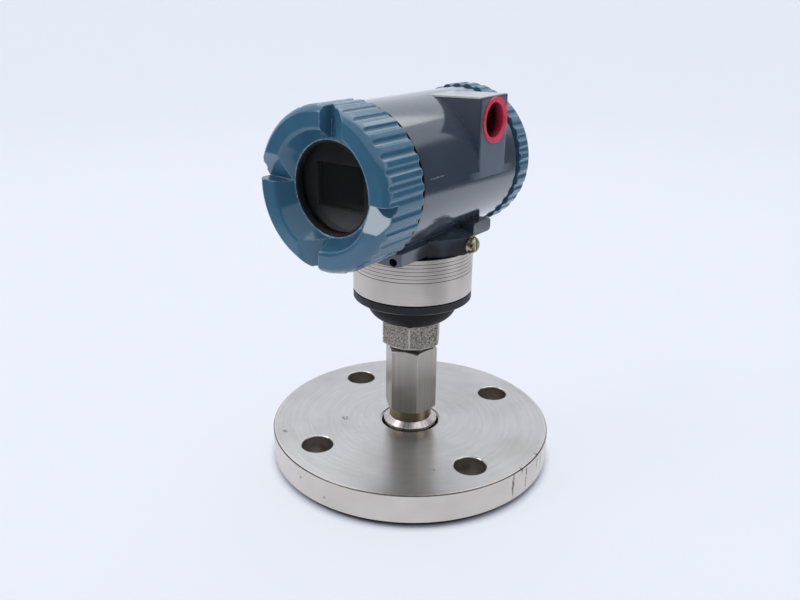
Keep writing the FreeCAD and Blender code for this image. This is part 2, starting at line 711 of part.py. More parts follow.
# Housing casting, about the middle of its barrel: the barrel runs along Y
def make_housing():
    body = new_body("housing")
    bottom = -axis_rise
    # Block at the upper right that carries the open conduit entry, and the barrel through it
    block_rear = d.conduit_offset + d.conduit_block_width / 2
    sketch = outline(body, "conduit_block_outline", "XZ_Plane", [
        (0, 0), (d.barrel_radius, 0), (d.barrel_radius, conduit_block_top),
        (0, conduit_block_top - d.conduit_block_fall),
    ], -block_rear)
    block = pad(body, "conduit_block", sketch, d.conduit_block_width)
    bevel(body, "conduit_block_edges", "Fillet", block,
          lambda edge: edge.BoundBox.ZMax > d.casting_edge.number, d.casting_edge)
    turn(body, "barrel", box_points(-d.barrel_front, 0, d.barrel_rear, d.barrel_radius),
         plane_role="YZ_Plane", axis="H_Axis")
    # Round boss at the left for the closed entry
    sketch = circles(body, "blank_boss_outline", "YZ_Plane", d.blank_boss_dia / 2,
                     [(d.conduit_offset, d.blank_rise)])
    pad(body, "blank_boss", sketch, d.barrel_radius + d.blank_boss_proud, reverse=True)
    # Neck with slanting faces, and a sloping roof up to the barrel
    sketch = neck_outline(body, "neck_section", bottom)
    pad(body, "neck_collar", sketch, d.neck_collar_height)
    roof_low = neck_outline(body, "roof_low", bottom + d.neck_collar_height)
    roof_high = neck_outline(body, "roof_high", bottom + d.neck_collar_height + d.neck_roof_height,
                             d.neck_roof_taper)
    roof = body.newObject("PartDesign::AdditiveLoft", "neck_roof")
    roof.Profile = roof_low
    roof.Sections = [roof_high]
    roof.Ruled = True
    # Block in front of the neck for the screw that locks the swivel
    half_lock = d.neck_shoulder_width / 2
    lock_front = d.barrel_front + d.lock_block_proud
    lock_top = bottom + d.lock_block_rise + d.lock_block_height
    sketch = lock_outline(body, "lock_block_outline", half_lock, lock_front, bottom + d.lock_block_rise)
    pad(body, "lock_block", sketch, d.lock_block_height)
    lock_low = lock_outline(body, "lock_roof_low", half_lock, lock_front, lock_top)
    lock_high = lock_outline(body, "lock_roof_high", half_lock - d.lock_roof_inset, lock_front,
                             lock_top + d.lock_roof_height)
    lock_roof = body.newObject("PartDesign::AdditiveLoft", "lock_roof")
    lock_roof.Profile = lock_low
    lock_roof.Sections = [lock_high]
    lock_roof.Ruled = True
    # Lug at the right under the barrel, and the round boss of the earth screw
    lug_rear = d.lug_front + d.lug_width
    lug_low = -d.lug_drop - d.lug_height
    corner = d.lug_corner
    sketch = outline(body, "lug_outline", "YZ_Plane", [
        (d.lug_front + corner, lug_low, corner), (lug_rear - corner, lug_low),
        (lug_rear, lug_low + corner, corner), (lug_rear, -d.lug_drop - corner),
        (lug_rear - corner, -d.lug_drop, corner), (d.lug_front + corner, -d.lug_drop),
        (d.lug_front, -d.lug_drop - corner, corner), (d.lug_front, lug_low + corner),
    ])
    pad(body, "lug", sketch, lug_reach)
    ground_height = bottom + d.ground_boss_dia / 2
    sketch = circles(body, "ground_boss_outline", "YZ_Plane", d.ground_boss_dia / 2,
                     [(d.ground_offset, ground_height)])
    pad(body, "ground_boss", sketch, ground_face)
    # Both compartments, with chamfered mouths
    mouth = d.mouth_chamfer
    inner = compartment_radius
    turn(body, "front_compartment", [
        (-front_cover_back, 0), (-half_partition, 0), (-half_partition, inner),
        (mouth - d.barrel_front, inner), (-d.barrel_front, inner + mouth),
        (-front_cover_back, inner + mouth),
    ], cut=True, plane_role="YZ_Plane", axis="H_Axis")
    turn(body, "rear_compartment", [
        (half_partition, 0), (d.barrel_rear, 0), (d.barrel_rear, inner + mouth),
        (d.barrel_rear - mouth, inner), (half_partition, inner),
    ], cut=True, plane_role="YZ_Plane", axis="H_Axis")
    # Socket for the neck of the sensor module, closed by a roof with a cable hole
    bore = d.module_neck_radius + d.swivel_clearance
    bore_top = module_top - barrel_axis + d.swivel_clearance
    turn(body, "neck_socket", box_points(0, bottom, socket_radius, bore_top + d.socket_roof))
    turn(body, "neck_bore", box_points(0, bottom, bore, bore_top), cut=True)
    sketch = circles(body, "cable_hole_outline", "XY_Plane", d.cable_hole_dia / 2,
                     [(0, -d.cable_hole_offset)], bore_top)
    pocket(body, "cable_hole", sketch, d.socket_roof + d.socket_wall, reverse=True)
    # Posts for the electronics and the inner earth screw, and the hole of the feedthrough
    spots = [(-post_spread, d.post_rise), (post_spread, d.post_rise)]
    sketch = circles(body, "post_outline", "XZ_Plane", d.post_dia / 2, spots)
    pad(body, "posts", sketch, d.post_reach)
    screw_hole = d.screw_shank_dia / 2 + d.screw_fit
    sketch = circles(body, "post_hole_outline", "XZ_Plane", screw_hole, spots, d.post_reach)
    pocket(body, "post_holes", sketch, d.screw_shank_length)
    spot = [(0, -d.ground_post_drop)]
    sketch = circles(body, "ground_post_outline", "XZ_Plane", d.ground_post_dia / 2, spot)
    pad(body, "ground_post", sketch, ground_reach, reverse=True)
    sketch = circles(body, "ground_post_hole_outline", "XZ_Plane", screw_hole, spot, -ground_reach)
    pocket(body, "ground_post_hole", sketch, d.screw_shank_length + d.screw_fit, reverse=True)
    sketch = circles(body, "feedthrough_outline", "XZ_Plane",
                     d.feedthrough_dia / 2 + d.screw_fit, [(0, 0)])
    pocket(body, "feedthrough_hole", sketch, d.partition_thickness * 2, both_ways=True)
    # Conduit entries, one from each side into the rear compartment
    sketch = circles(body, "conduit_outline", "YZ_Plane", d.conduit_bore_dia / 2,
                     [(d.conduit_offset, conduit_rise)])
    pocket(body, "conduit_entry", sketch, d.barrel_radius + d.casting_edge, reverse=True)
    sketch = circles(body, "blank_entry_outline", "YZ_Plane", d.conduit_bore_dia / 2,
                     [(d.conduit_offset, d.blank_rise)], -d.barrel_radius - d.blank_boss_proud)
    pocket(body, "blank_entry", sketch, d.barrel_radius, reverse=True)
    # Holes of the earth screw and of the set screw, which points at the stem
    sketch = circles(body, "ground_hole_outline", "YZ_Plane", screw_hole,
                     [(d.ground_offset, ground_height)], ground_face)
    pocket(body, "ground_hole", sketch, d.screw_shank_length + d.screw_fit)
    sketch = circles(body, "set_screw_outline", "XZ_Plane", d.set_screw_dia / 2 + d.screw_fit,
                     [(0, bottom + d.set_screw_rise)])
    sketch.AttachmentOffset = FreeCAD.Placement(
        FreeCAD.Vector(), FreeCAD.Rotation(FreeCAD.Vector(0, 1, 0), d.set_screw_angle.number))
    pocket(body, "set_screw_hole", sketch, lock_front + half_lock, reverse=True)
    place(body, z=barrel_axis)
    return finish(body)


# Slotted screw along its own Z, seated under the head at zero
def make_screw(label, head_dia=None):
    body = new_body(label)
    head = (head_dia or d.screw_head_dia) / 2
    shank = d.screw_shank_dia / 2
    turn(body, label + "_turn", [
        (0, -d.screw_shank_length), (shank, -d.screw_shank_length), (shank, 0), (head, 0),
        (head, d.screw_head_height - d.screw_slot), (head - d.screw_slot, d.screw_head_height),
        (0, d.screw_head_height),
    ])
    slot = outline(body, label + "_slot_outline", "XY_Plane",
                   box_points(-head, -d.screw_slot / 2, head, d.screw_slot / 2), d.screw_head_height)
    pocket(body, label + "_slot", slot, d.screw_slot_depth)
    return body


def screw_group(label, spots, rotation):
    screws = []
    for index, spot in enumerate(spots, start=1):
        screw = make_screw(f"{label}_{index}")
        place(screw, *spot, rotation=rotation)
        screws.append(screw)
    group = doc.addObject("Part::Compound", label)
    group.Label = label
    group.Links = screws
    return finish(group)


def make_neck_hardware():
    # Earth screw with its clamping washer on the right-hand boss
    ground_height = housing_bottom + d.ground_boss_dia / 2
    washer = new_body("ground_washer")
    turn(washer, "washer_turn", box_points(d.screw_shank_dia / 2 + d.screw_fit, 0,
                                           d.ground_washer_dia / 2, d.ground_washer_thickness))
    place(washer, ground_face, d.ground_offset, ground_height, to_right)
    finish(washer)
    screw = make_screw("ground_screw", d.ground_head_dia)
    place(screw, ground_face + d.ground_washer_thickness, d.ground_offset, ground_height, to_right)
    finish(screw)
    # Headless screw with a hexagon socket, its tip just clear of the module's neck
    body = new_body("rotation_set_screw")
    tip = d.module_neck_radius + d.swivel_clearance
    radius = d.set_screw_dia / 2
    turn(body, "set_screw_turn", [
        (0, tip), (radius / 2, tip), (radius, tip + radius / 2),
        (radius, tip + d.set_screw_length), (0, tip + d.set_screw_length),
    ])
    sketch = outline(body, "set_screw_key", "XY_Plane", hexagon(d.set_screw_socket),
                     tip + d.set_screw_length)
    pocket(body, "set_screw_socket_cut", sketch, d.set_screw_socket)
    around = FreeCAD.Rotation(FreeCAD.Vector(0, 0, 1), d.set_screw_angle.number)
    place(body, z=housing_bottom + d.set_screw_rise, rotation=around.multiply(to_front))
    finish(body)


# Blank of a cover along its own Z, outwards, from the outline of its outer and inner faces
def cover_blank(label, back, outside, inside):
    body = new_body(label)
    skirt_end = back - d.cover_skirt_length
    groove_floor = skirt_radius - d.cover_ring_groove
    groove_back = back - d.cover_ring_section - d.cover_ring_clearance * 2
    turn(body, label + "_turn", [
        (cover_bore_radius, skirt_end), (skirt_radius, skirt_end),
        (skirt_radius, groove_back), (groove_floor, groove_back),
        (groove_floor, back), (cover_radius, back),
    ] + outside + inside)
    return body


def cut_flutes(body, label, back, flute_top):
    # Ball-nosed flutes that run out at the back edge of the cover.
    axis = cover_radius - d.flute_depth + d.flute_radius
    sketch = outline(body, label + "_flute_outline", "XZ_Plane", [
        (axis, back - 1), (axis + d.flute_radius, back - 1),
        (axis + d.flute_radius, flute_top - d.flute_radius), (axis, flute_top, d.flute_radius),
    ])
    # The flutes stay level while the cover's notches are turned.
    sketch.AttachmentOffset = FreeCAD.Placement(
        FreeCAD.Vector(), FreeCAD.Rotation(FreeCAD.Vector(0, 1, 0), -d.notch_turn.number))
    flute = body.newObject("PartDesign::Groove", label + "_flute")
    flute.Profile = sketch
    flute.ReferenceAxis = (sketch, ["Edge4"])
    flute.Angle = 360
    repeat(body, label + "_flutes", flute, d.flute_count)


def cut_notches(body, label, front, depth, length, start):
    # Wrench notches in the rim: a steep wall at one end and a flat ramp that falls to it.
    sketch = outline(body, label + "_notch_outline", "XZ_Plane", [
        (0, front - depth), (length, front), (length, front + 1), (0, front + 1),
    ], -start)
    notch = pocket(body, label + "_notch", sketch, cover_radius)
    repeat(body, label + "_notches", notch, d.notch_count)


def make_o_ring(label, back, rotation):
    body = new_body(label)
    section = d.cover_ring_section / 2
    middle = skirt_radius - d.cover_ring_groove + d.cover_ring_clearance + section
    sketch = circles(body, label + "_section", "XZ_Plane", section,
                     [(middle, back - d.cover_ring_clearance - section)])
    ring = body.newObject("PartDesign::Revolution", label + "_turn")
    ring.Profile = sketch
    ring.ReferenceAxis = (sketch, ["V_Axis"])
    ring.Angle = 360
    place(body, z=barrel_axis, rotation=rotation)
    return finish(body)


def make_front_cover():
    front = front_cover_back + d.front_cover_depth
    seat = glass_radius + d.glass_clearance
    retainer_back = glass_back - d.retainer_thickness
    body = cover_blank("front_cover", front_cover_back, [
        (cover_radius, front - d.front_edge_drop),
        (cover_radius - d.front_edge_inset, front, d.front_edge_radius),
        (rim_inner_radius, front),
        (rim_inner_radius - d.rim_round, front - d.rim_round / 2, d.rim_round * 1.2),
    ], [
        (window_lip_radius + d.rim_round / 4, lip_front), (window_lip_radius, lip_front),
        (window_lip_radius, lip_back), (seat, lip_back), (seat, retainer_back),
        (cover_bore_radius, retainer_back),
    ])
    cut_flutes(body, "front", front_cover_back, front - d.front_flute_end)
    cut_notches(body, "front", front, d.front_notch_depth, d.front_notch_length, window_lip_radius / 2)
    place(body, z=barrel_axis, rotation=spun(to_front, d.notch_turn.number))
    finish(body)
    make_o_ring("front_cover_o_ring", front_cover_back, to_front)
    # Window, from the front: gasket with a sleeve over the lip, glass, retaining ring
    sleeve = window_lip_radius - d.module_fit
    window = [
        ("window_gasket", [
            (sleeve - d.gasket_sleeve, glass_front), (glass_radius, glass_front),
            (glass_radius, lip_back), (sleeve, lip_back), (sleeve, lip_front - d.module_fit),
            (sleeve - d.gasket_sleeve, lip_front - d.module_fit),
        ]),
        ("window_glass", box_points(0, glass_back, glass_radius, glass_front)),
        ("window_retainer", box_points(retainer_opening, retainer_back, seat - d.module_fit, glass_back)),
    ]
    for label, points in window:
        place(turned_piece(label, points), z=barrel_axis, rotation=to_front)


def make_rear_cover():
    front = rear_cover_back + d.rear_cover_depth
    ceiling = front - d.rear_cover_roof - d.rear_dish_depth
    body = cover_blank("rear_cover", rear_cover_back, [
        (cover_radius, front - d.rear_edge_drop),
        (cover_radius - d.rear_edge_inset, front, d.rear_edge_radius),
        (rear_dish_radius, front), (rear_dish_radius - d.rear_dish_depth, front - d.rear_dish_depth),
        (0, front - d.rear_dish_depth),
    ], [(0, ceiling), (cover_bore_radius, ceiling)])
    cut_flutes(body, "rear", rear_cover_back, front + d.rear_flute_overrun)
    cut_notches(body, "rear", front, d.rear_notch_depth, d.rear_notch_length,
                rear_dish_radius - d.rear_dish_depth)
    place(body, z=barrel_axis, rotation=spun(to_rear, d.notch_turn.number))
    finish(body)
    make_o_ring("rear_cover_o_ring", rear_cover_back, to_rear)


# Front compartment: potted electronics on two posts, with the display in front of it
def make_electronics():
    body = new_body("electronics_module")
    turn(body, "electronics_turn", box_points(0, d.post_reach, electronics_radius, electronics_front))
    spots = [(-post_spread, d.post_rise), (post_spread, d.post_rise)]
    shank = d.screw_shank_dia / 2 + d.screw_fit
    head = d.screw_head_dia / 2 + d.plug_clearance
    sketch = circles(body, "electronics_hole_outline", "XY_Plane", shank, spots, d.post_reach)
    pocket(body, "electronics_holes", sketch, d.electronics_depth, reverse=True)
    seat = d.post_reach + d.screw_shank_length / 2
    sketch = circles(body, "electronics_seat_outline", "XY_Plane", head, spots, seat)
    pocket(body, "electronics_seats", sketch, d.electronics_depth, reverse=True)
    place(body, z=barrel_axis, rotation=to_front)
    finish(body)
    screw_group("electronics_screws", [
        (side, -seat, barrel_axis + d.post_rise) for side in (-post_spread, post_spread)
    ], to_front)
    # Display carrier: narrow foot, round body, and a rectangular well for the panel
    body = new_body("display_carrier")
    shoulder = electronics_front + d.display_foot_depth
    turn(body, "carrier_turn", [
        (0, electronics_front), (d.display_foot_radius, electronics_front),
        (d.display_foot_radius, shoulder), (display_radius, shoulder),
        (display_radius, display_front), (0, display_front),
    ])
    fit = d.module_fit
    half_width = display_radius * d.panel_width_share
    half_height = display_radius * d.panel_height_share
    well = outline(body, "carrier_well_outline", "XY_Plane",
                   box_points(-half_width - fit, -half_height - fit, half_width + fit, half_height + fit),
                   display_front)
    pocket(body, "carrier_well", well, d.panel_thickness + d.panel_recess)
    place(body, z=barrel_axis, rotation=to_front)
    finish(body)
    body = new_body("display_panel")
    sketch = outline(body, "panel_outline", "XY_Plane",
                     box_points(-half_width, -half_height, half_width, half_height),
                     display_front - d.panel_recess - d.panel_thickness)
    pad(body, "panel", sketch, d.panel_thickness)
    place(body, z=barrel_axis, rotation=to_front)
    finish(body)
    # Sealed feedthrough in the wall between the compartments
    body = new_body("feedthrough")
    turn(body, "feedthrough_turn", box_points(0, -half_partition, d.feedthrough_dia / 2,
                                              half_partition + d.feedthrough_reach))
    place(body, z=barrel_axis, rotation=to_front)
    finish(body)


# Rear compartment: ribbed terminal block on the partition, its screws and the inner earth screw
def make_terminals():
    body = new_body("terminal_block")
    half = d.terminal_width / 2
    back = half_partition + d.terminal_depth
    sketch = outline(body, "terminal_outline", "XZ_Plane",
                     box_points(-half, d.terminal_bottom, half, d.terminal_top), -half_partition)
    pad(body, "terminal_bar", sketch, d.terminal_depth, reverse=True)
    rib = d.terminal_rib / 2
    pitch = (d.terminal_width - d.terminal_rib) / d.terminal_count
    first = -half + rib
    sketch = outline(body, "terminal_rib_outline", "XZ_Plane",
                     box_points(first - rib, -d.terminal_ear_drop / 2, first + rib, d.terminal_top), -back)
    ribs = pad(body, "terminal_rib", sketch, d.terminal_rib_rise, reverse=True)
    pattern = body.newObject("PartDesign::LinearPattern", "terminal_ribs")
    pattern.Originals = [ribs]
    pattern.Direction = (sketch, ["H_Axis"])
    pattern.setExpression("Length", (d.terminal_width - d.terminal_rib).formula)
    pattern.setExpression("Occurrences", (d.terminal_count + 1).formula)
    body.Tip = pattern
    screw_hole = d.screw_shank_dia / 2 + d.screw_fit
    count = int(d.terminal_count.number)
    columns = [first + pitch * (index + 0.5) for index in range(count)]
    ears = [-half + d.screw_head_dia, half - d.screw_head_dia]
    holes = [(x, d.terminal_screw_rise) for x in columns] + [(x, -d.terminal_ear_drop) for x in ears]
    sketch = circles(body, "terminal_hole_outline", "XZ_Plane", screw_hole, holes, -back)
    pocket(body, "terminal_holes", sketch, d.screw_shank_length + d.screw_fit, reverse=True)
    place(body, z=barrel_axis)
    finish(body)
    screw_group("terminal_screws", [
        (x, back, barrel_axis + d.terminal_screw_rise) for x in columns
    ], to_rear)
    screw_group("terminal_mount_screws", [
        (x, back, barrel_axis - d.terminal_ear_drop) for x in ears
    ], to_rear)
    screw = make_screw("inner_ground_screw")
    place(screw, 0, ground_reach, barrel_axis - d.ground_post_drop, to_rear)
    finish(screw)


# Push-in plastic cup in the right entry, and a steel plug with a key socket in the left one
def make_conduit_plugs():
    body = new_body("conduit_plug")
    outer = d.conduit_bore_dia / 2 - d.plug_clearance
    flange = d.plug_flange_dia / 2
    face = d.barrel_radius + d.plug_flange_thickness
    end = d.barrel_radius - d.plug_depth
    turn(body, "plug_turn", [
        (0, end), (outer - d.plug_floor, end), (outer, end + d.plug_floor), (outer, d.barrel_radius),
        (flange, d.barrel_radius), (flange, face), (outer - d.plug_wall + d.plug_mouth, face),
        (outer - d.plug_wall, face - d.plug_mouth), (outer - d.plug_wall, end + d.plug_floor),
        (0, end + d.plug_floor),
    ])
    place(body, y=d.conduit_offset, z=barrel_axis + conduit_rise, rotation=to_right)
    finish(body)
    body = new_body("blank_plug")
    top = d.barrel_radius + d.blank_boss_proud - d.blank_plug_recess
    radius = d.conduit_bore_dia / 2 - d.screw_fit
    turn(body, "blank_plug_turn", [
        (0, top - d.blank_plug_depth), (radius, top - d.blank_plug_depth),
        (radius, top - d.blank_plug_recess), (radius - d.blank_plug_recess, top), (0, top),
    ])
    sketch = outline(body, "blank_plug_key", "XY_Plane", hexagon(d.blank_plug_flats), top)
    pocket(body, "blank_plug_socket_cut", sketch, d.blank_plug_socket)
    place(body, y=d.conduit_offset, z=barrel_axis + d.blank_rise, rotation=to_left)
    finish(body)


make_flange()
make_seal()
make_adapter()
make_process_hex()
make_module()
make_housing()
make_neck_hardware()
make_front_cover()
make_rear_cover()
make_electronics()
make_terminals()
make_conduit_plugs()
doc.recompute()

# Nothing is written unless every object and every solid came out sound
for item in doc.Objects:
    if "Invalid" in item.State or "Error" in item.State:
        raise RuntimeError(f"{item.Name} failed: {item.State}")
for item in sub_parts:
    if item.Shape.isNull() or not item.Shape.isValid() or not item.Shape.Solids:
        raise RuntimeError(f"{item.Label} has no sound solid")
os.makedirs("parts", exist_ok=True)
for item in sub_parts:
    item.Shape.exportStep(f"parts/{item.Label}.step")
    box = item.Shape.BoundBox
    print(f"{item.Label:24s} solids {len(item.Shape.Solids)} volume {item.Shape.Volume:10.1f}"
          f" x {box.XMin:7.2f} {box.XMax:7.2f} y {box.YMin:7.2f} {box.YMax:7.2f}"
          f" z {box.ZMin:7.2f} {box.ZMax:7.2f}")
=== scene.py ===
import math
import bpy
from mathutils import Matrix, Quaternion, Vector


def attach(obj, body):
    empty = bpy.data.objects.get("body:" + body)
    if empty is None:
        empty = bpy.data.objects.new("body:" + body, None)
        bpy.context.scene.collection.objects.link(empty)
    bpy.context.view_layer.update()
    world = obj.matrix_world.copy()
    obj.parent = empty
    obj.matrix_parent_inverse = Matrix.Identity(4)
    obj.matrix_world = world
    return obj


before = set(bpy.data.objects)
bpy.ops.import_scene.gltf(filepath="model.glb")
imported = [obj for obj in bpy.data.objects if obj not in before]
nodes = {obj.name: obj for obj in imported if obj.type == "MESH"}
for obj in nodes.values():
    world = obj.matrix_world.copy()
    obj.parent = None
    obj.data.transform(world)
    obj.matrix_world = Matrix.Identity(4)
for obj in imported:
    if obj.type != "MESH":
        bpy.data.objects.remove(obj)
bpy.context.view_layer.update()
mm = 0.001  # in metres
barrelHeight = 174  # millimetres from the floor up to the axis of the housing's barrel
noiseSpan = (0.3, 0.7)  # where most values of a noise texture lie
bevelSamples = 6
print("frame loaded with", len(nodes), "nodes")


def hexColour(code):
    channels = []
    for start in (0, 2, 4):
        value = int(code[start:start + 2], 16) / 255
        channels.append(value / 12.92 if value <= 0.04045 else ((value + 0.055) / 1.055) ** 2.4)
    return (*channels, 1.0)


def perMm(size):
    return 1000 / size  # texture scale whose features are about this many millimetres wide


def addNode(tree, kind, inputs, **settings):
    node = tree.nodes.new(kind)
    for name, value in settings.items():
        setattr(node, name, value)
    for name, value in inputs.items():
        if isinstance(value, bpy.types.NodeSocket):
            tree.links.new(value, node.inputs[name])
        else:
            node.inputs[name].default_value = value
    return node


def startMaterial(name, values):
    material = bpy.data.materials.new(name)
    material.use_nodes = True
    tree = material.node_tree
    shader = tree.nodes["Principled BSDF"]
    for socket, value in values.items():
        shader.inputs[socket].default_value = value
    place = addNode(tree, "ShaderNodeTexCoord", {}).outputs["Object"]
    return material, tree, shader, place


def linkShader(tree, shader, sources):
    for socket, source in sources.items():
        tree.links.new(source, shader.inputs[socket])


# Marks are soft ellipsoids: centre, half sizes and turn about Z, in millimetres and degrees
markCore = 0.5  # share of a mark, from its centre, that is at full strength


def markMask(tree, place, marks):
    total = 0.0
    for centre, half, turn in marks:
        local = addNode(tree, "ShaderNodeMapping", {
            "Vector": place,
            "Location": Vector(centre) * mm,
            "Rotation": (0, 0, math.radians(turn)),
            "Scale": Vector(half) * mm,
        }, vector_type="TEXTURE")
        away = addNode(tree, "ShaderNodeVectorMath", {0: local.outputs[0]}, operation="LENGTH")
        mask = addNode(tree, "ShaderNodeMapRange", {
            "Value": away.outputs["Value"], "From Min": 1.0, "From Max": markCore,
        })
        wider = addNode(tree, "ShaderNodeMath", {0: mask.outputs[0], 1: total}, operation="MAXIMUM")
        total = wider.outputs[0]
    return total


# Screw thread of the covers and their mouths: one ridge for each pitch along the barrel
threadLook = {
    "middle": -1.7,
    "pitch": 2.0,
    "depth": 1.0,
    "strength": 0.6,
    "metal": "A9A59E",
}


# Height of the ridge, distance from the barrel's axis and distance along it from the middle
def threadFields(tree, place):
    look = threadLook
    barrel = addNode(tree, "ShaderNodeVectorMath", {
        0: place, 1: (0, look["middle"] * mm, barrelHeight * mm),
    }, operation="SUBTRACT")
    sides = addNode(tree, "ShaderNodeSeparateXYZ", {0: barrel.outputs[0]})
    angle = addNode(tree, "ShaderNodeMath", {
        0: sides.outputs["X"], 1: sides.outputs["Z"],
    }, operation="ARCTAN2")
    share = addNode(tree, "ShaderNodeMath", {0: angle.outputs[0], 1: 2 * math.pi}, operation="DIVIDE")
    turns = addNode(tree, "ShaderNodeMath", {
        0: sides.outputs["Y"], 1: perMm(look["pitch"]), 2: share.outputs[0],
    }, operation="MULTIPLY_ADD")
    ridge = addNode(tree, "ShaderNodeMath", {0: turns.outputs[0], 1: 0.5}, operation="PINGPONG")
    across = addNode(tree, "ShaderNodeVectorMath", {
        0: barrel.outputs[0], 1: (1, 0, 1),
    }, operation="MULTIPLY")
    radius = addNode(tree, "ShaderNodeVectorMath", {0: across.outputs[0]}, operation="LENGTH")
    reach = addNode(tree, "ShaderNodeMath", {0: sides.outputs["Y"]}, operation="ABSOLUTE")
    return {"ridge": ridge.outputs[0], "radius": radius.outputs["Value"], "reach": reach.outputs[0]}


# The thread is cut into the surface only where the mask is one
def threadCut(tree, mask, ridge, rounded):
    height = addNode(tree, "ShaderNodeMath", {0: mask, 1: ridge}, operation="MULTIPLY")
    cut = addNode(tree, "ShaderNodeBump", {
        "Height": height.outputs[0],
        "Strength": threadLook["strength"],
        "Distance": threadLook["depth"] * mm,
        "Normal": rounded,
    })
    return cut.outputs[0]


# Edges that hands and tools rub: where a normal rounded over this many millimetres leaves the true one.
# The mask is full at the low cosine and ends at the high one
def edgeMask(tree, radius, low, high):
    rounded = addNode(tree, "ShaderNodeBevel", {"Radius": radius * mm}, samples=bevelSamples)
    geometry = addNode(tree, "ShaderNodeNewGeometry", {})
    along = addNode(tree, "ShaderNodeVectorMath", {
        0: rounded.outputs[0], 1: geometry.outputs["True Normal"],
    }, operation="DOT_PRODUCT")
    mask = addNode(tree, "ShaderNodeMapRange", {
        "Value": along.outputs["Value"], "From Min": high, "From Max": low,
    })
    return mask.outputs[0], rounded.outputs[0]


# One for the rays that the eye follows: straight from the camera, mirrored or through glass
def seenRays(tree):
    rays = addNode(tree, "ShaderNodeLightPath", {})
    seen = rays.outputs["Is Camera Ray"]
    for kind in ("Is Glossy Ray", "Is Transmission Ray"):
        more = addNode(tree, "ShaderNodeMath", {0: seen, 1: rays.outputs[kind]}, operation="MAXIMUM")
        seen = more.outputs[0]
    return seen


# In the looks below, lengths are in millimetres, "edge" is what edgeMask takes,
# "broken" the noise values where wear starts and is full, and "bump" a strength and a depth

# Slate polyurethane enamel on die-cast metal: gloss with a fine orange peel, dull clouds and hairlines,
# with painted shade beside the neck and a painted sheen on the conduit boss's face
slateLook = {
    "dark": "38414C",
    "pale": "434C57",
    "rub": "9AA2AA",
    "bare": "6F6252",
    # Painted sheen on the conduit boss's flat face
    "faceSheen": "707983",
    # Painted shade beside the neck and on the module's ring
    "shadeDark": "12161C",
    "cloudMm": 24,
    "peelMm": 1.5,
    "hairMm": 0.7,
    "broken": (0.45, 0.6),
    "wear": 0.9,
    "edge": (0.5, 0.78, 0.93),
    "edgeWear": 0.35,
    "coat": 0.9,
    "rough": (0.1, 0.2),
    "matteRough": 0.4,
    "bump": (0.12, 0.1),
    "flatCosine": 0.999,
    "rim": (39.15, 44.2),
    "mouth": (35.6, 29),
    "marks": [((38.6, -35, 179.4), (4, 8, 0.5), 0), ((34.3, 35.4, 155.4), (2, 0.8, 0.8), 0)],
    # Painted sheen: the patch of the boss's flat face that is lightened
    "sheenPatch": [((39, 16, 190), (3, 24, 46), 0)],
    # Painted shade: places darkened beside the neck and on the module's ring
    "shadeMarks": [
        ((36, -4, 134.5), (12, 26, 9), 0),
        ((24, -22, 134.5), (14, 14, 9), 0),
        ((0, 0, 103), (75, 75, 6), 0),
    ],
}


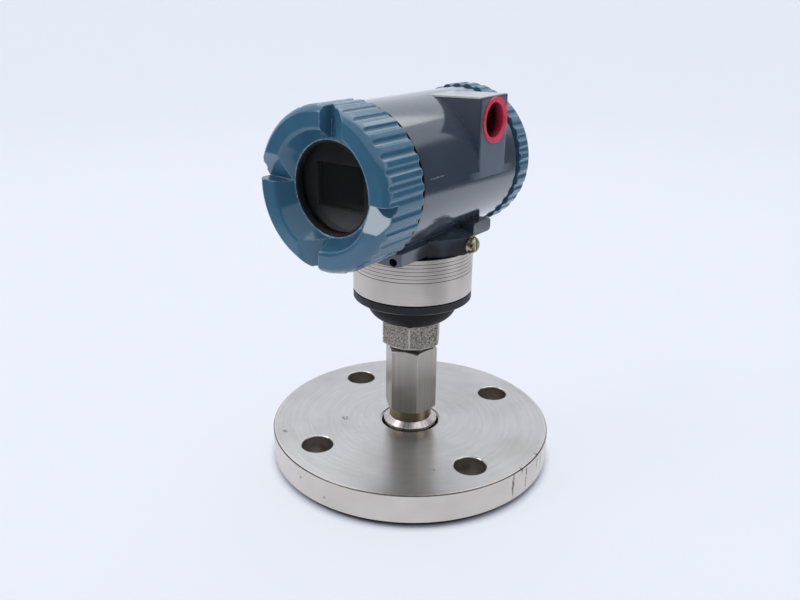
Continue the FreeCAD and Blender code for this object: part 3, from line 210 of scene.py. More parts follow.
def makeSlate():
    look = slateLook
    material, tree, shader, place = startMaterial("slateEnamel", {"IOR": 1.5, "Coat Roughness": 0.1})
    cloud = addNode(tree, "ShaderNodeTexNoise", {
        "Vector": place, "Scale": perMm(look["cloudMm"]), "Detail": 6.0,
    })
    tone = addNode(tree, "ShaderNodeMix", {
        0: cloud.outputs["Fac"], 6: hexColour(look["dark"]), 7: hexColour(look["pale"]),
    }, data_type="RGBA")
    hair = addNode(tree, "ShaderNodeTexNoise", {
        "Vector": place, "Scale": perMm(look["hairMm"]), "Detail": 3.0,
    })
    broken = addNode(tree, "ShaderNodeMapRange", {
        "Value": hair.outputs["Fac"],
        "From Min": look["broken"][0],
        "From Max": look["broken"][1],
        "To Max": look["wear"],
    })
    marks = markMask(tree, place, look["marks"])
    rub = addNode(tree, "ShaderNodeMath", {0: marks, 1: broken.outputs[0]}, operation="MULTIPLY")
    edge, rounded = edgeMask(tree, *look["edge"])
    worn = addNode(tree, "ShaderNodeMath", {0: edge, 1: broken.outputs[0]}, operation="MULTIPLY")
    wornSoft = addNode(tree, "ShaderNodeMath", {
        0: worn.outputs[0], 1: look["edgeWear"],
    }, operation="MULTIPLY")
    wear = addNode(tree, "ShaderNodeMath", {
        0: rub.outputs[0], 1: wornSoft.outputs[0],
    }, operation="MAXIMUM")
    # Painted sheen: the flat face of the conduit boss is painted a lighter grey for the light it
    # reflects
    flatFace = addNode(tree, "ShaderNodeSeparateXYZ", {
        0: addNode(tree, "ShaderNodeNewGeometry", {}).outputs["True Normal"],
    })
    sideways = addNode(tree, "ShaderNodeMath", {
        0: flatFace.outputs["X"], 1: look["flatCosine"],
    }, operation="GREATER_THAN")
    sheenPatch = addNode(tree, "ShaderNodeMath", {
        0: sideways.outputs[0], 1: markMask(tree, place, look["sheenPatch"]),
    }, operation="MULTIPLY")
    sheenedTone = addNode(tree, "ShaderNodeMix", {
        0: sheenPatch.outputs[0], 6: tone.outputs[2], 7: hexColour(look["faceSheen"]),
    }, data_type="RGBA")
    # Painted shade: faces tucked in beside the neck, and the ring of the module, are painted dark where
    # shade falls on them, and lose their gloss
    shadeMarks = markMask(tree, place, look["shadeMarks"])
    shadedTone = addNode(tree, "ShaderNodeMix", {
        0: shadeMarks, 6: sheenedTone.outputs[2], 7: hexColour(look["shadeDark"]),
    }, data_type="RGBA")
    coat = addNode(tree, "ShaderNodeMapRange", {"Value": shadeMarks, "To Min": look["coat"], "To Max": 0.0})
    painted = addNode(tree, "ShaderNodeMix", {
        0: wear.outputs[0], 6: shadedTone.outputs[2], 7: hexColour(look["rub"]),
    }, data_type="RGBA")
    # Both mouths of the barrel are faced off and threaded, so they are bare metal
    thread = threadFields(tree, place)
    masks = {}
    for ring in ("rim", "mouth"):
        widest, nearest = look[ring]
        within = addNode(tree, "ShaderNodeMath", {
            0: thread["radius"], 1: widest * mm,
        }, operation="LESS_THAN")
        beyond = addNode(tree, "ShaderNodeMath", {
            0: thread["reach"], 1: nearest * mm,
        }, operation="GREATER_THAN")
        masks[ring] = addNode(tree, "ShaderNodeMath", {
            0: within.outputs[0], 1: beyond.outputs[0],
        }, operation="MULTIPLY").outputs[0]
    bare = addNode(tree, "ShaderNodeMath", {0: masks["rim"], 1: masks["mouth"]}, operation="MAXIMUM")
    metal = addNode(tree, "ShaderNodeMix", {
        0: masks["mouth"], 6: hexColour(look["bare"]), 7: hexColour(threadLook["metal"]),
    }, data_type="RGBA")
    colour = addNode(tree, "ShaderNodeMix", {
        0: bare.outputs[0], 6: painted.outputs[2], 7: metal.outputs[2],
    }, data_type="RGBA")
    gloss = addNode(tree, "ShaderNodeMapRange", {
        "Value": cloud.outputs["Fac"], "From Min": noiseSpan[0], "From Max": noiseSpan[1],
        "To Min": look["rough"][0], "To Max": look["rough"][1],
    })
    dulled = addNode(tree, "ShaderNodeMath", {
        0: shadeMarks, 1: look["matteRough"], 2: gloss.outputs[0],
    }, operation="MULTIPLY_ADD")
    peel = addNode(tree, "ShaderNodeTexNoise", {
        "Vector": place, "Scale": perMm(look["peelMm"]), "Detail": 2.0,
    })
    bump = addNode(tree, "ShaderNodeBump", {
        "Height": peel.outputs["Fac"], "Strength": look["bump"][0], "Distance": look["bump"][1] * mm,
        "Normal": threadCut(tree, masks["mouth"], thread["ridge"], rounded),
    })
    linkShader(tree, shader, {
        "Base Color": colour.outputs[2],
        "Metallic": bare.outputs[0],
        "Roughness": dulled.outputs[0],
        "Coat Weight": coat.outputs[0],
        "Normal": bump.outputs[0],
    })
    return material


# Steel-blue gloss enamel of the covers: thick film, softly rounded edges with a painted highlight along
# them, paler where it is worn
blueLook = {
    "deep": "345F77",
    "pale": "416E85",
    # Painted highlight: the pale colour painted along edges
    "glintPale": "9DBBCB",
    "rub": "D3DEE4",
    "cloudMm": 16,
    "peelMm": 1.8,
    "hairMm": 1.1,
    "broken": (0.48, 0.62),
    "wear": 0.8,
    "edge": (1.0, 0.76, 0.95),
    "edgeGlint": 0.4,
    "rough": (0.1, 0.2),
    "bump": (0.15, 0.1),
    "skirtReach": 47.2,
}


def makeBlue():
    look = blueLook
    material, tree, shader, place = startMaterial("blueEnamel", {
        "IOR": 1.5, "Coat Weight": 0.3, "Coat Roughness": 0.05,
    })
    cloud = addNode(tree, "ShaderNodeTexNoise", {
        "Vector": place, "Scale": perMm(look["cloudMm"]), "Detail": 6.0,
    })
    tone = addNode(tree, "ShaderNodeMix", {
        0: cloud.outputs["Fac"], 6: hexColour(look["deep"]), 7: hexColour(look["pale"]),
    }, data_type="RGBA")
    hair = addNode(tree, "ShaderNodeTexNoise", {
        "Vector": place, "Scale": perMm(look["hairMm"]), "Detail": 3.0,
    })
    broken = addNode(tree, "ShaderNodeMapRange", {
        "Value": hair.outputs["Fac"],
        "From Min": look["broken"][0],
        "From Max": look["broken"][1],
        "To Max": look["wear"],
    })
    # Painted highlight: edges are painted pale for the glints along them, and pale specks along edges
    # are partly paint worn through and partly painted glints
    edge, rounded = edgeMask(tree, *look["edge"])
    worn = addNode(tree, "ShaderNodeMath", {0: edge, 1: broken.outputs[0]}, operation="MULTIPLY")
    glintShare = addNode(tree, "ShaderNodeMath", {0: edge, 1: look["edgeGlint"]}, operation="MULTIPLY")
    film = addNode(tree, "ShaderNodeMix", {
        0: glintShare.outputs[0], 6: tone.outputs[2], 7: hexColour(look["glintPale"]),
    }, data_type="RGBA")
    painted = addNode(tree, "ShaderNodeMix", {
        0: worn.outputs[0], 6: film.outputs[2], 7: hexColour(look["rub"]),
    }, data_type="RGBA")
    # The threaded skirt that goes into the barrel is bare metal
    thread = threadFields(tree, place)
    skirt = addNode(tree, "ShaderNodeMath", {
        0: thread["reach"], 1: look["skirtReach"] * mm,
    }, operation="LESS_THAN")
    colour = addNode(tree, "ShaderNodeMix", {
        0: skirt.outputs[0], 6: painted.outputs[2], 7: hexColour(threadLook["metal"]),
    }, data_type="RGBA")
    gloss = addNode(tree, "ShaderNodeMapRange", {
        "Value": cloud.outputs["Fac"], "From Min": noiseSpan[0], "From Max": noiseSpan[1],
        "To Min": look["rough"][0], "To Max": look["rough"][1],
    })
    peel = addNode(tree, "ShaderNodeTexNoise", {
        "Vector": place, "Scale": perMm(look["peelMm"]), "Detail": 2.0,
    })
    bump = addNode(tree, "ShaderNodeBump", {
        "Height": peel.outputs["Fac"], "Strength": look["bump"][0], "Distance": look["bump"][1] * mm,
        "Normal": threadCut(tree, skirt.outputs[0], thread["ridge"], rounded),
    })
    linkShader(tree, shader, {
        "Base Color": colour.outputs[2],
        "Metallic": skirt.outputs[0],
        "Roughness": gloss.outputs[0],
        "Normal": bump.outputs[0],
    })
    return material


# Turned steel: faint concentric tool lines, a warm rim, dull stains, brown bores, a few spots, painted
# glints on the edges of the holes and a painted dark reflection along the outer corner.
# "wallCosine" parts walls from faces, and "slope" is the middle and half width of the corner's cosines
turnedLook = {
    "bright": "D0CECB",
    "dull": "CAC7C3",
    "stain": "8D8578",
    "spot": "554E44",
    "bore": "B4AA9D",
    "warm": "DCD3CB",
    # Painted highlight on the edges of the holes
    "holeGlint": "F1EFEB",
    # Painted reflection: the dark line on the outer corner
    "darkReflection": "57514A",
    "lineMm": 1.7,
    "arcMm": 30,
    "arcRadius": 60,
    "cloudMm": 38,
    "stains": (0.35, 0.85),
    "stainMost": 0.3,
    "speckMm": 1.4,
    "broken": (0.42, 0.6),
    "rimRadius": 81,
    "holeRadius": 75,
    "wallCosine": 0.4,
    "slope": (0.6, 0.35),
    "edge": (0.6, 0.75, 0.97),
    "strokes": (0.25, 0.75),
    "rough": (0.24, 0.27),
    "bump": (0.03, 0.03),
    "metal": 0.86,
    "marks": [
        ((-30.2, -24.9, 20), (3.5, 2.5, 2), 20),
        ((-48.6, -58.2, 20), (2.6, 1.8, 2), 0),
        ((44, -39.5, 20), (1.2, 1.0, 2), 0),
        ((-15.6, -81, 13.1), (1.0, 2.0, 0.9), 0),
        ((2.8, -82.5, 8.6), (0.9, 2.0, 0.8), 0),
        ((80.9, -16.3, 13), (3, 1.3, 9), 0),
        ((82, -9.1, 19), (3, 1.1, 2.4), 0),
        ((82.3, -4.5, 13), (3, 1.2, 9), 0),
        ((82, 8.6, 15.5), (3, 1.3, 6), 0),
        ((81.2, 14.8, 12.5), (3, 1.2, 6), 0),
        ((82, 9.1, 19.8), (3, 2.2, 1.4), 0),
    ],
}
# Welded hub: brighter, with chatter across its slope, one narrow bore and no spots
hubLook = turnedLook | {
    "bright": "E4DBD5",
    "dull": "BDB2AA",
    "stain": "6D6156",
    "bore": "837971",
    "holeGlint": "EAE1DB",
    "lineMm": 5,
    "arcMm": 1.8,
    "arcRadius": 16,
    "cloudMm": 7,
    "holeRadius": 2,
    "rough": (0.2, 0.32),
    "bump": (0.08, 0.03),
    "metal": 1.0,
    "marks": [],
}


def makeTurned(name, look):
    material, tree, shader, place = startMaterial(name, {"Metallic": look["metal"]})
    flat = addNode(tree, "ShaderNodeVectorMath", {0: place, 1: (1, 1, 0)}, operation="MULTIPLY")
    radius = addNode(tree, "ShaderNodeVectorMath", {0: flat.outputs[0]}, operation="LENGTH")
    height = addNode(tree, "ShaderNodeSeparateXYZ", {0: place})
    along = addNode(tree, "ShaderNodeMath", {
        0: radius.outputs["Value"], 1: height.outputs["Z"],
    }, operation="ADD")
    # Tool lines run in broken arcs: one length round the axis and another across it
    outward = addNode(tree, "ShaderNodeVectorMath", {0: flat.outputs[0]}, operation="NORMALIZE")
    around = addNode(tree, "ShaderNodeVectorMath", {
        0: outward.outputs[0], "Scale": look["arcRadius"] / look["arcMm"],
    }, operation="SCALE")
    arcs = addNode(tree, "ShaderNodeVectorMath", {
        0: along.outputs[0], 1: (0, 0, perMm(look["lineMm"])), 2: around.outputs[0],
    }, operation="MULTIPLY_ADD")
    lines = addNode(tree, "ShaderNodeTexNoise", {
        "Vector": arcs.outputs[0], "Scale": 1.0, "Detail": 4.0, "Roughness": 0.6,
    })
    strokes = addNode(tree, "ShaderNodeMapRange", {
        "Value": lines.outputs["Fac"], "From Min": noiseSpan[0], "From Max": noiseSpan[1],
    }, interpolation_type="SMOOTHSTEP")
    tone = addNode(tree, "ShaderNodeMix", {
        0: strokes.outputs[0], 6: hexColour(look["dull"]), 7: hexColour(look["bright"]),
    }, data_type="RGBA")
    outside = addNode(tree, "ShaderNodeMath", {
        0: radius.outputs["Value"], 1: look["rimRadius"] * mm,
    }, operation="GREATER_THAN")
    rimTone = addNode(tree, "ShaderNodeMix", {
        0: outside.outputs[0], 6: tone.outputs[2], 7: hexColour(look["warm"]),
    }, data_type="RGBA")
    # Walls of the bolt holes stay dull and brown
    facing = addNode(tree, "ShaderNodeSeparateXYZ", {
        0: addNode(tree, "ShaderNodeNewGeometry", {}).outputs["Normal"],
    })
    upright = addNode(tree, "ShaderNodeMath", {0: facing.outputs["Z"]}, operation="ABSOLUTE")
    wall = addNode(tree, "ShaderNodeMath", {
        0: upright.outputs[0], 1: look["wallCosine"],
    }, operation="LESS_THAN")
    inner = addNode(tree, "ShaderNodeMath", {
        0: radius.outputs["Value"], 1: look["holeRadius"] * mm,
    }, operation="LESS_THAN")
    hole = addNode(tree, "ShaderNodeMath", {
        0: wall.outputs[0], 1: inner.outputs[0],
    }, operation="MULTIPLY")
    boreTone = addNode(tree, "ShaderNodeMix", {
        0: hole.outputs[0], 6: rimTone.outputs[2], 7: hexColour(look["bore"]),
    }, data_type="RGBA")
    # Painted highlight: edges of the holes are painted bright for the glint along them
    edge, rounded = edgeMask(tree, *look["edge"])
    holeGlintMask = addNode(tree, "ShaderNodeMath", {0: edge, 1: inner.outputs[0]}, operation="MULTIPLY")
    holeGlinted = addNode(tree, "ShaderNodeMix", {
        0: holeGlintMask.outputs[0], 6: boreTone.outputs[2], 7: hexColour(look["holeGlint"]),
    }, data_type="RGBA")
    # Painted reflection: the slope of the outer corner is painted with a narrow dark line for the dark
    # it reflects
    slope = addNode(tree, "ShaderNodeMath", {
        0: upright.outputs[0], 1: look["slope"][0], 2: look["slope"][1],
    }, operation="COMPARE")
    corner = addNode(tree, "ShaderNodeMath", {
        0: slope.outputs[0], 1: outside.outputs[0],
    }, operation="MULTIPLY")
    darkReflected = addNode(tree, "ShaderNodeMix", {
        0: corner.outputs[0], 6: holeGlinted.outputs[2], 7: hexColour(look["darkReflection"]),
    }, data_type="RGBA")
    # Broad stains and a few ragged spots
    cloud = addNode(tree, "ShaderNodeTexNoise", {
        "Vector": place, "Scale": perMm(look["cloudMm"]), "Detail": 4.0,
    })
    stains = addNode(tree, "ShaderNodeMapRange", {
        "Value": cloud.outputs["Fac"],
        "From Min": look["stains"][0],
        "From Max": look["stains"][1],
        "To Max": look["stainMost"],
    }, interpolation_type="SMOOTHSTEP")
    stained = addNode(tree, "ShaderNodeMix", {
        0: stains.outputs[0], 6: darkReflected.outputs[2], 7: hexColour(look["stain"]),
    }, data_type="RGBA")
    speck = addNode(tree, "ShaderNodeTexNoise", {
        "Vector": place, "Scale": perMm(look["speckMm"]), "Detail": 3.0,
    })
    ragged = addNode(tree, "ShaderNodeMapRange", {
        "Value": speck.outputs["Fac"], "From Min": look["broken"][0], "From Max": look["broken"][1],
    })
    marked = addNode(tree, "ShaderNodeMath", {
        0: markMask(tree, place, look["marks"]), 1: ragged.outputs[0],
    }, operation="MULTIPLY")
    colour = addNode(tree, "ShaderNodeMix", {
        0: marked.outputs[0], 6: stained.outputs[2], 7: hexColour(look["spot"]),
    }, data_type="RGBA")
    gloss = addNode(tree, "ShaderNodeMapRange", {
        "Value": lines.outputs["Fac"], "From Min": look["strokes"][0], "From Max": look["strokes"][1],
        "To Min": look["rough"][0], "To Max": look["rough"][1],
    })
    bump = addNode(tree, "ShaderNodeBump", {
        "Height": lines.outputs["Fac"], "Strength": look["bump"][0], "Distance": look["bump"][1] * mm,
        "Normal": rounded,
    })
    linkShader(tree, shader, {
        "Base Color": colour.outputs[2], "Roughness": gloss.outputs[0], "Normal": bump.outputs[0],
    })
    return material


# Milled bar steel: streaks up the flats, brighter corners, straw-brown at the weld of the neck
barLook = {
    "bright": "C2BCB4",
    "dull": "9D958C",
    "corner": "D8D3CC",
    "heat": "8A7654",
    "heatTop": 29.8,
    "heatFade": 0.3,
    "heatMost": 0.8,
    "streakMm": 2.2,
    "streakStretch": 0.06,
    "cloudMm": 16,
    "edge": (0.5, 0.88, 0.985),
    "rough": (0.26, 0.4),
    "bump": (0.08, 0.04),
}


def makeBar():
    look = barLook
    material, tree, shader, place = startMaterial("milledBar", {"Metallic": 1.0})
    drawn = addNode(tree, "ShaderNodeMapping", {"Vector": place, "Scale": (1, 1, look["streakStretch"])})
    streak = addNode(tree, "ShaderNodeTexNoise", {
        "Vector": drawn.outputs[0], "Scale": perMm(look["streakMm"]), "Detail": 4.0,
    })
    cloud = addNode(tree, "ShaderNodeTexNoise", {
        "Vector": place, "Scale": perMm(look["cloudMm"]), "Detail": 5.0,
    })
    tone = addNode(tree, "ShaderNodeMix", {
        0: streak.outputs["Fac"], 6: hexColour(look["dull"]), 7: hexColour(look["bright"]),
    }, data_type="RGBA")
    edge, rounded = edgeMask(tree, *look["edge"])
    cornered = addNode(tree, "ShaderNodeMix", {
        0: edge, 6: tone.outputs[2], 7: hexColour(look["corner"]),
    }, data_type="RGBA")
    height = addNode(tree, "ShaderNodeSeparateXYZ", {0: place})
    heat = addNode(tree, "ShaderNodeMapRange", {
        "Value": height.outputs["Z"],
        "From Min": (look["heatTop"] + look["heatFade"]) * mm,
        "From Max": look["heatTop"] * mm,
        "To Max": look["heatMost"],
    })
    colour = addNode(tree, "ShaderNodeMix", {
        0: heat.outputs[0], 6: cornered.outputs[2], 7: hexColour(look["heat"]),
    }, data_type="RGBA")
    gloss = addNode(tree, "ShaderNodeMapRange", {
        "Value": cloud.outputs["Fac"], "From Min": noiseSpan[0], "From Max": noiseSpan[1],
        "To Min": look["rough"][0], "To Max": look["rough"][1],
    })
    bump = addNode(tree, "ShaderNodeBump", {
        "Height": streak.outputs["Fac"], "Strength": look["bump"][0], "Distance": look["bump"][1] * mm,
        "Normal": rounded,
    })
    linkShader(tree, shader, {
        "Base Color": colour.outputs[2], "Roughness": gloss.outputs[0], "Normal": bump.outputs[0],
    })
    return material


# Sand-cast steel: coarse grain, brown in the pits, bright along corners that are partly worn smooth and
# partly a painted highlight; those corners scatter light and so read as less metallic
castLook = {
    "face": "C6BDB1",
    "pit": "453D33",
    # Painted highlight along corners, partly also real wear
    "bright": "F6F0E6",
    "grainMm": 1.0,
    "pits": (0.35, 0.65),
    "cloudMm": 9,
    "edge": (1.8, 0.9, 0.985),
    "metal": 0.8,
    "edgeMetal": 0.25,
    "rough": (0.3, 0.46),
    "bump": (0.9, 0.5),
}


def makeCast():
    look = castLook
    material, tree, shader, place = startMaterial("sandCastSteel", {})
    grain = addNode(tree, "ShaderNodeTexNoise", {
        "Vector": place, "Scale": perMm(look["grainMm"]), "Detail": 5.0, "Roughness": 0.6,
    })
    cloud = addNode(tree, "ShaderNodeTexNoise", {
        "Vector": place, "Scale": perMm(look["cloudMm"]), "Detail": 4.0,
    })
    depth = addNode(tree, "ShaderNodeMapRange", {
        "Value": grain.outputs["Fac"], "From Min": look["pits"][0], "From Max": look["pits"][1],
    })
    tone = addNode(tree, "ShaderNodeMix", {
        0: depth.outputs[0], 6: hexColour(look["pit"]), 7: hexColour(look["face"]),
    }, data_type="RGBA")
    # Painted highlight along the corners, partly also real wear
    edge, rounded = edgeMask(tree, *look["edge"])
    colour = addNode(tree, "ShaderNodeMix", {
        0: edge, 6: tone.outputs[2], 7: hexColour(look["bright"]),
    }, data_type="RGBA")
    metal = addNode(tree, "ShaderNodeMapRange", {
        "Value": edge, "To Min": look["metal"], "To Max": look["edgeMetal"],
    })
    gloss = addNode(tree, "ShaderNodeMapRange", {
        "Value": cloud.outputs["Fac"], "From Min": noiseSpan[0], "From Max": noiseSpan[1],
        "To Min": look["rough"][0], "To Max": look["rough"][1],
    })
    bump = addNode(tree, "ShaderNodeBump", {
        "Height": grain.outputs["Fac"], "Strength": look["bump"][0], "Distance": look["bump"][1] * mm,
        "Normal": rounded,
    })
    linkShader(tree, shader, {
        "Base Color": colour.outputs[2],
        "Metallic": metal.outputs[0],
        "Roughness": gloss.outputs[0],
        "Normal": bump.outputs[0],
    })
    return material


# Satin rolled strip: fine grain round the band, thin dark ruled lines on its upper half
bandLook = {
    "bright": "DAD2CB",
    "dull": "BDB3AB",
    "ink": "4A4646",
    "grainMm": 0.4,
    "cloudMm": 14,
    "rulePitch": 2.05,
    "ruleWidth": 0.28,
    "ruleLow": 118.6,
    "ruleHigh": 130.2,
    "ruleSlack": 0.1,
    "rough": (0.28, 0.42),
    "bump": (0.15, 0.02),
}


def makeBand():
    look = bandLook
    material, tree, shader, place = startMaterial("satinStrip", {"Metallic": 1.0})
    parts = addNode(tree, "ShaderNodeSeparateXYZ", {0: place})
    grain = addNode(tree, "ShaderNodeTexNoise", {
        "W": parts.outputs["Z"], "Scale": perMm(look["grainMm"]), "Detail": 3.0,
    }, noise_dimensions="1D")
    cloud = addNode(tree, "ShaderNodeTexNoise", {
        "Vector": place, "Scale": perMm(look["cloudMm"]), "Detail": 5.0,
    })
    tone = addNode(tree, "ShaderNodeMix", {
        0: grain.outputs["Fac"], 6: hexColour(look["dull"]), 7: hexColour(look["bright"]),
    }, data_type="RGBA")
    up = addNode(tree, "ShaderNodeMath", {
        0: parts.outputs["Z"], 1: look["ruleLow"] * mm,
    }, operation="SUBTRACT")
    step = addNode(tree, "ShaderNodeMath", {
        0: up.outputs[0], 1: look["rulePitch"] * mm,
    }, operation="MODULO")
    rule = addNode(tree, "ShaderNodeMath", {
        0: step.outputs[0], 1: look["ruleWidth"] * mm,
    }, operation="LESS_THAN")
    above = addNode(tree, "ShaderNodeMath", {
        0: parts.outputs["Z"], 1: (look["ruleLow"] - look["ruleSlack"]) * mm,
    }, operation="GREATER_THAN")
    below = addNode(tree, "ShaderNodeMath", {
        0: parts.outputs["Z"], 1: look["ruleHigh"] * mm,
    }, operation="LESS_THAN")
    inside = addNode(tree, "ShaderNodeMath", {
        0: above.outputs[0], 1: below.outputs[0],
    }, operation="MULTIPLY")
    lines = addNode(tree, "ShaderNodeMath", {
        0: rule.outputs[0], 1: inside.outputs[0],
    }, operation="MULTIPLY")
    colour = addNode(tree, "ShaderNodeMix", {
        0: lines.outputs[0], 6: tone.outputs[2], 7: hexColour(look["ink"]),
    }, data_type="RGBA")
    gloss = addNode(tree, "ShaderNodeMapRange", {
        "Value": cloud.outputs["Fac"], "From Min": noiseSpan[0], "From Max": noiseSpan[1],
        "To Min": look["rough"][0], "To Max": look["rough"][1],
    })
    bump = addNode(tree, "ShaderNodeBump", {
        "Height": grain.outputs["Fac"], "Strength": look["bump"][0], "Distance": look["bump"][1] * mm,
    })
    linkShader(tree, shader, {
        "Base Color": colour.outputs[2], "Roughness": gloss.outputs[0], "Normal": bump.outputs[0],
    })
    return material


# Plain materials share one recipe: a cloudy colour, a roughness that follows it and a fine grain.
# "spread" is how far noise runs from its middle between the two colours; less gives harder patches.
# Here "bump" is a strength alone, because the grain has one depth
grainDepth = 0.1


def makeGrained(name, look, values):
    material, tree, shader, place = startMaterial(name, values)
    cloud = addNode(tree, "ShaderNodeTexNoise", {
        "Vector": place, "Scale": perMm(look["cloudMm"]), "Detail": 5.0,
    })
    spread = look.get("spread", 0.5)
    patches = addNode(tree, "ShaderNodeMapRange", {
        "Value": cloud.outputs["Fac"], "From Min": 0.5 - spread, "From Max": 0.5 + spread,
    })
    tone = addNode(tree, "ShaderNodeMix", {
        0: patches.outputs[0], 6: hexColour(look["dark"]), 7: hexColour(look["pale"]),
    }, data_type="RGBA")
    gloss = addNode(tree, "ShaderNodeMapRange", {
        "Value": cloud.outputs["Fac"], "From Min": noiseSpan[0], "From Max": noiseSpan[1],
        "To Min": look["rough"][0], "To Max": look["rough"][1],
    })
    grain = addNode(tree, "ShaderNodeTexNoise", {
        "Vector": place, "Scale": perMm(look["grainMm"]), "Detail": 3.0,
    })
    rounded = addNode(tree, "ShaderNodeBevel", {"Radius": look["roundMm"] * mm}, samples=bevelSamples)
    bump = addNode(tree, "ShaderNodeBump", {
        "Height": grain.outputs["Fac"], "Strength": look["bump"], "Distance": grainDepth * mm,
        "Normal": rounded.outputs[0],
    })
    linkShader(tree, shader, {
        "Base Color": tone.outputs[2], "Roughness": gloss.outputs[0], "Normal": bump.outputs[0],
    })
    return material


# What each gives the eye: black nylon satin bowl, dull moulded rubber, dirty nickel brass, bright zinc,
# cloudy potting, dark panel film, lacquered board, dull phenolic, dark oxide, dark nylon carrier,
# brownish blend of the bezel and the retainer
grainedLooks = {
    "blackNylon": ({"dark": "0F1012", "pale": "191A1C", "cloudMm": 10, "rough": (0.5, 0.62),
                    "grainMm": 0.6, "roundMm": 0.4, "bump": 0.1},
                   {"IOR": 1.5, "Specular IOR Level": 0.25}),
    "mouldedRubber": ({"dark": "101011", "pale": "1C1C1D", "cloudMm": 6, "rough": (0.55, 0.75),
                       "grainMm": 0.4, "roundMm": 0.2, "bump": 0.12},
                      {"IOR": 1.52}),
    "dirtyNickelBrass": ({"dark": "3A3022", "pale": "EBE0BC", "cloudMm": 2.4, "rough": (0.3, 0.5),
                          "grainMm": 0.4, "roundMm": 0.2, "bump": 0.1, "spread": 0.16},
                         {"Metallic": 1.0}),
    "brightZinc": ({"dark": "A6A8A8", "pale": "C2C4C3", "cloudMm": 4, "rough": (0.24, 0.4),
                    "grainMm": 0.3, "roundMm": 0.2, "bump": 0.06},
                   {"Metallic": 1.0}),
    "pottedResin": ({"dark": "1B1D20", "pale": "2A2D31", "cloudMm": 8, "rough": (0.3, 0.5),
                     "grainMm": 0.9, "roundMm": 0.4, "bump": 0.12},
                    {"IOR": 1.55}),
    "panelFilm": ({"dark": "161C1B", "pale": "1E2725", "cloudMm": 12, "rough": (0.12, 0.2),
                   "grainMm": 0.5, "roundMm": 0.1, "bump": 0.01},
                  {"IOR": 1.5, "Specular IOR Level": 0.3}),
    "lacqueredBoard": ({"dark": "0F4A2B", "pale": "1B6038", "cloudMm": 5, "rough": (0.25, 0.4),
                        "grainMm": 0.5, "roundMm": 0.1, "bump": 0.08},
                       {"IOR": 1.55}),
    "phenolic": ({"dark": "222326", "pale": "2F3033", "cloudMm": 5, "rough": (0.4, 0.55),
                  "grainMm": 0.5, "roundMm": 0.3, "bump": 0.12},
                 {"IOR": 1.55}),
    "blackOxide": ({"dark": "1D1C1B", "pale": "343230", "cloudMm": 2, "rough": (0.35, 0.5),
                    "grainMm": 0.3, "roundMm": 0.15, "bump": 0.08},
                   {"Metallic": 1.0}),
    "carrierNylon": ({"dark": "17181A", "pale": "222326", "cloudMm": 9, "rough": (0.35, 0.5),
                      "grainMm": 0.5, "roundMm": 0.3, "bump": 0.04},
                     {"IOR": 1.5, "Specular IOR Level": 0.2}),
    "bezelBlend": ({"dark": "443D40", "pale": "524A4C", "cloudMm": 11, "rough": (0.4, 0.52),
                    "grainMm": 0.8, "roundMm": 0.3, "bump": 0.03},
                   {"IOR": 1.5, "Specular IOR Level": 0.2}),
}


# Waxy red polythene: pinkish on the lip, with painted shade down the hole: darker red where little light
# comes back
plugLook = {
    "lip": "E4435F",
    "shade": "D02C49",
    "deep": "3A0304",
    "lipAt": 38.9,
    "deepAt": 34,
    "cloudMm": 7,
    "roundMm": 0.45,
    "glowMm": 1.2,
    "rough": (0.25, 0.38),
    "bump": (0.2, 0.2),
}


def makePlug():
    look = plugLook
    material, tree, shader, place = startMaterial("redPolythene", {
        "IOR": 1.52, "Subsurface Weight": 0.12, "Subsurface Scale": look["glowMm"] * mm,
    })
    cloud = addNode(tree, "ShaderNodeTexNoise", {
        "Vector": place, "Scale": perMm(look["cloudMm"]), "Detail": 4.0,
    })
    tone = addNode(tree, "ShaderNodeMix", {
        0: cloud.outputs["Fac"], 6: hexColour(look["shade"]), 7: hexColour(look["lip"]),
    }, data_type="RGBA")
    along = addNode(tree, "ShaderNodeSeparateXYZ", {0: place})
    # Painted shade: the red darkens down the hole, away from the lip
    depth = addNode(tree, "ShaderNodeMapRange", {
        "Value": along.outputs["X"], "From Min": look["lipAt"] * mm, "From Max": look["deepAt"] * mm,
    })
    colour = addNode(tree, "ShaderNodeMix", {
        0: depth.outputs[0], 6: tone.outputs[2], 7: hexColour(look["deep"]),
    }, data_type="RGBA")
    gloss = addNode(tree, "ShaderNodeMapRange", {
        "Value": cloud.outputs["Fac"], "From Min": noiseSpan[0], "From Max": noiseSpan[1],
        "To Min": look["rough"][0], "To Max": look["rough"][1],
    })
    rounded = addNode(tree, "ShaderNodeBevel", {"Radius": look["roundMm"] * mm}, samples=bevelSamples)
    bump = addNode(tree, "ShaderNodeBump", {
        "Height": cloud.outputs["Fac"], "Strength": look["bump"][0], "Distance": look["bump"][1] * mm,
        "Normal": rounded.outputs[0],
    })
    linkShader(tree, shader, {
        "Base Color": colour.outputs[2], "Roughness": gloss.outputs[0], "Normal": bump.outputs[0],
    })
    return material


# Toughened glass: clear, faintly green, with a breath of dust on it
glassLook = {"tint": "EFF6F3", "dustMm": 9, "dusty": (0.5, 0.8), "dustRough": 0.02}


def makeGlass():
    look = glassLook
    material, tree, shader, place = startMaterial("toughenedGlass", {
        "Base Color": hexColour(look["tint"]), "IOR": 1.52, "Transmission Weight": 1.0,
    })
    dust = addNode(tree, "ShaderNodeTexNoise", {
        "Vector": place, "Scale": perMm(look["dustMm"]), "Detail": 6.0,
    })
    gloss = addNode(tree, "ShaderNodeMapRange", {
        "Value": dust.outputs["Fac"],
        "From Min": look["dusty"][0],
        "From Max": look["dusty"][1],
        "To Max": look["dustRough"],
    })
    linkShader(tree, shader, {"Roughness": gloss.outputs[0]})
    return material


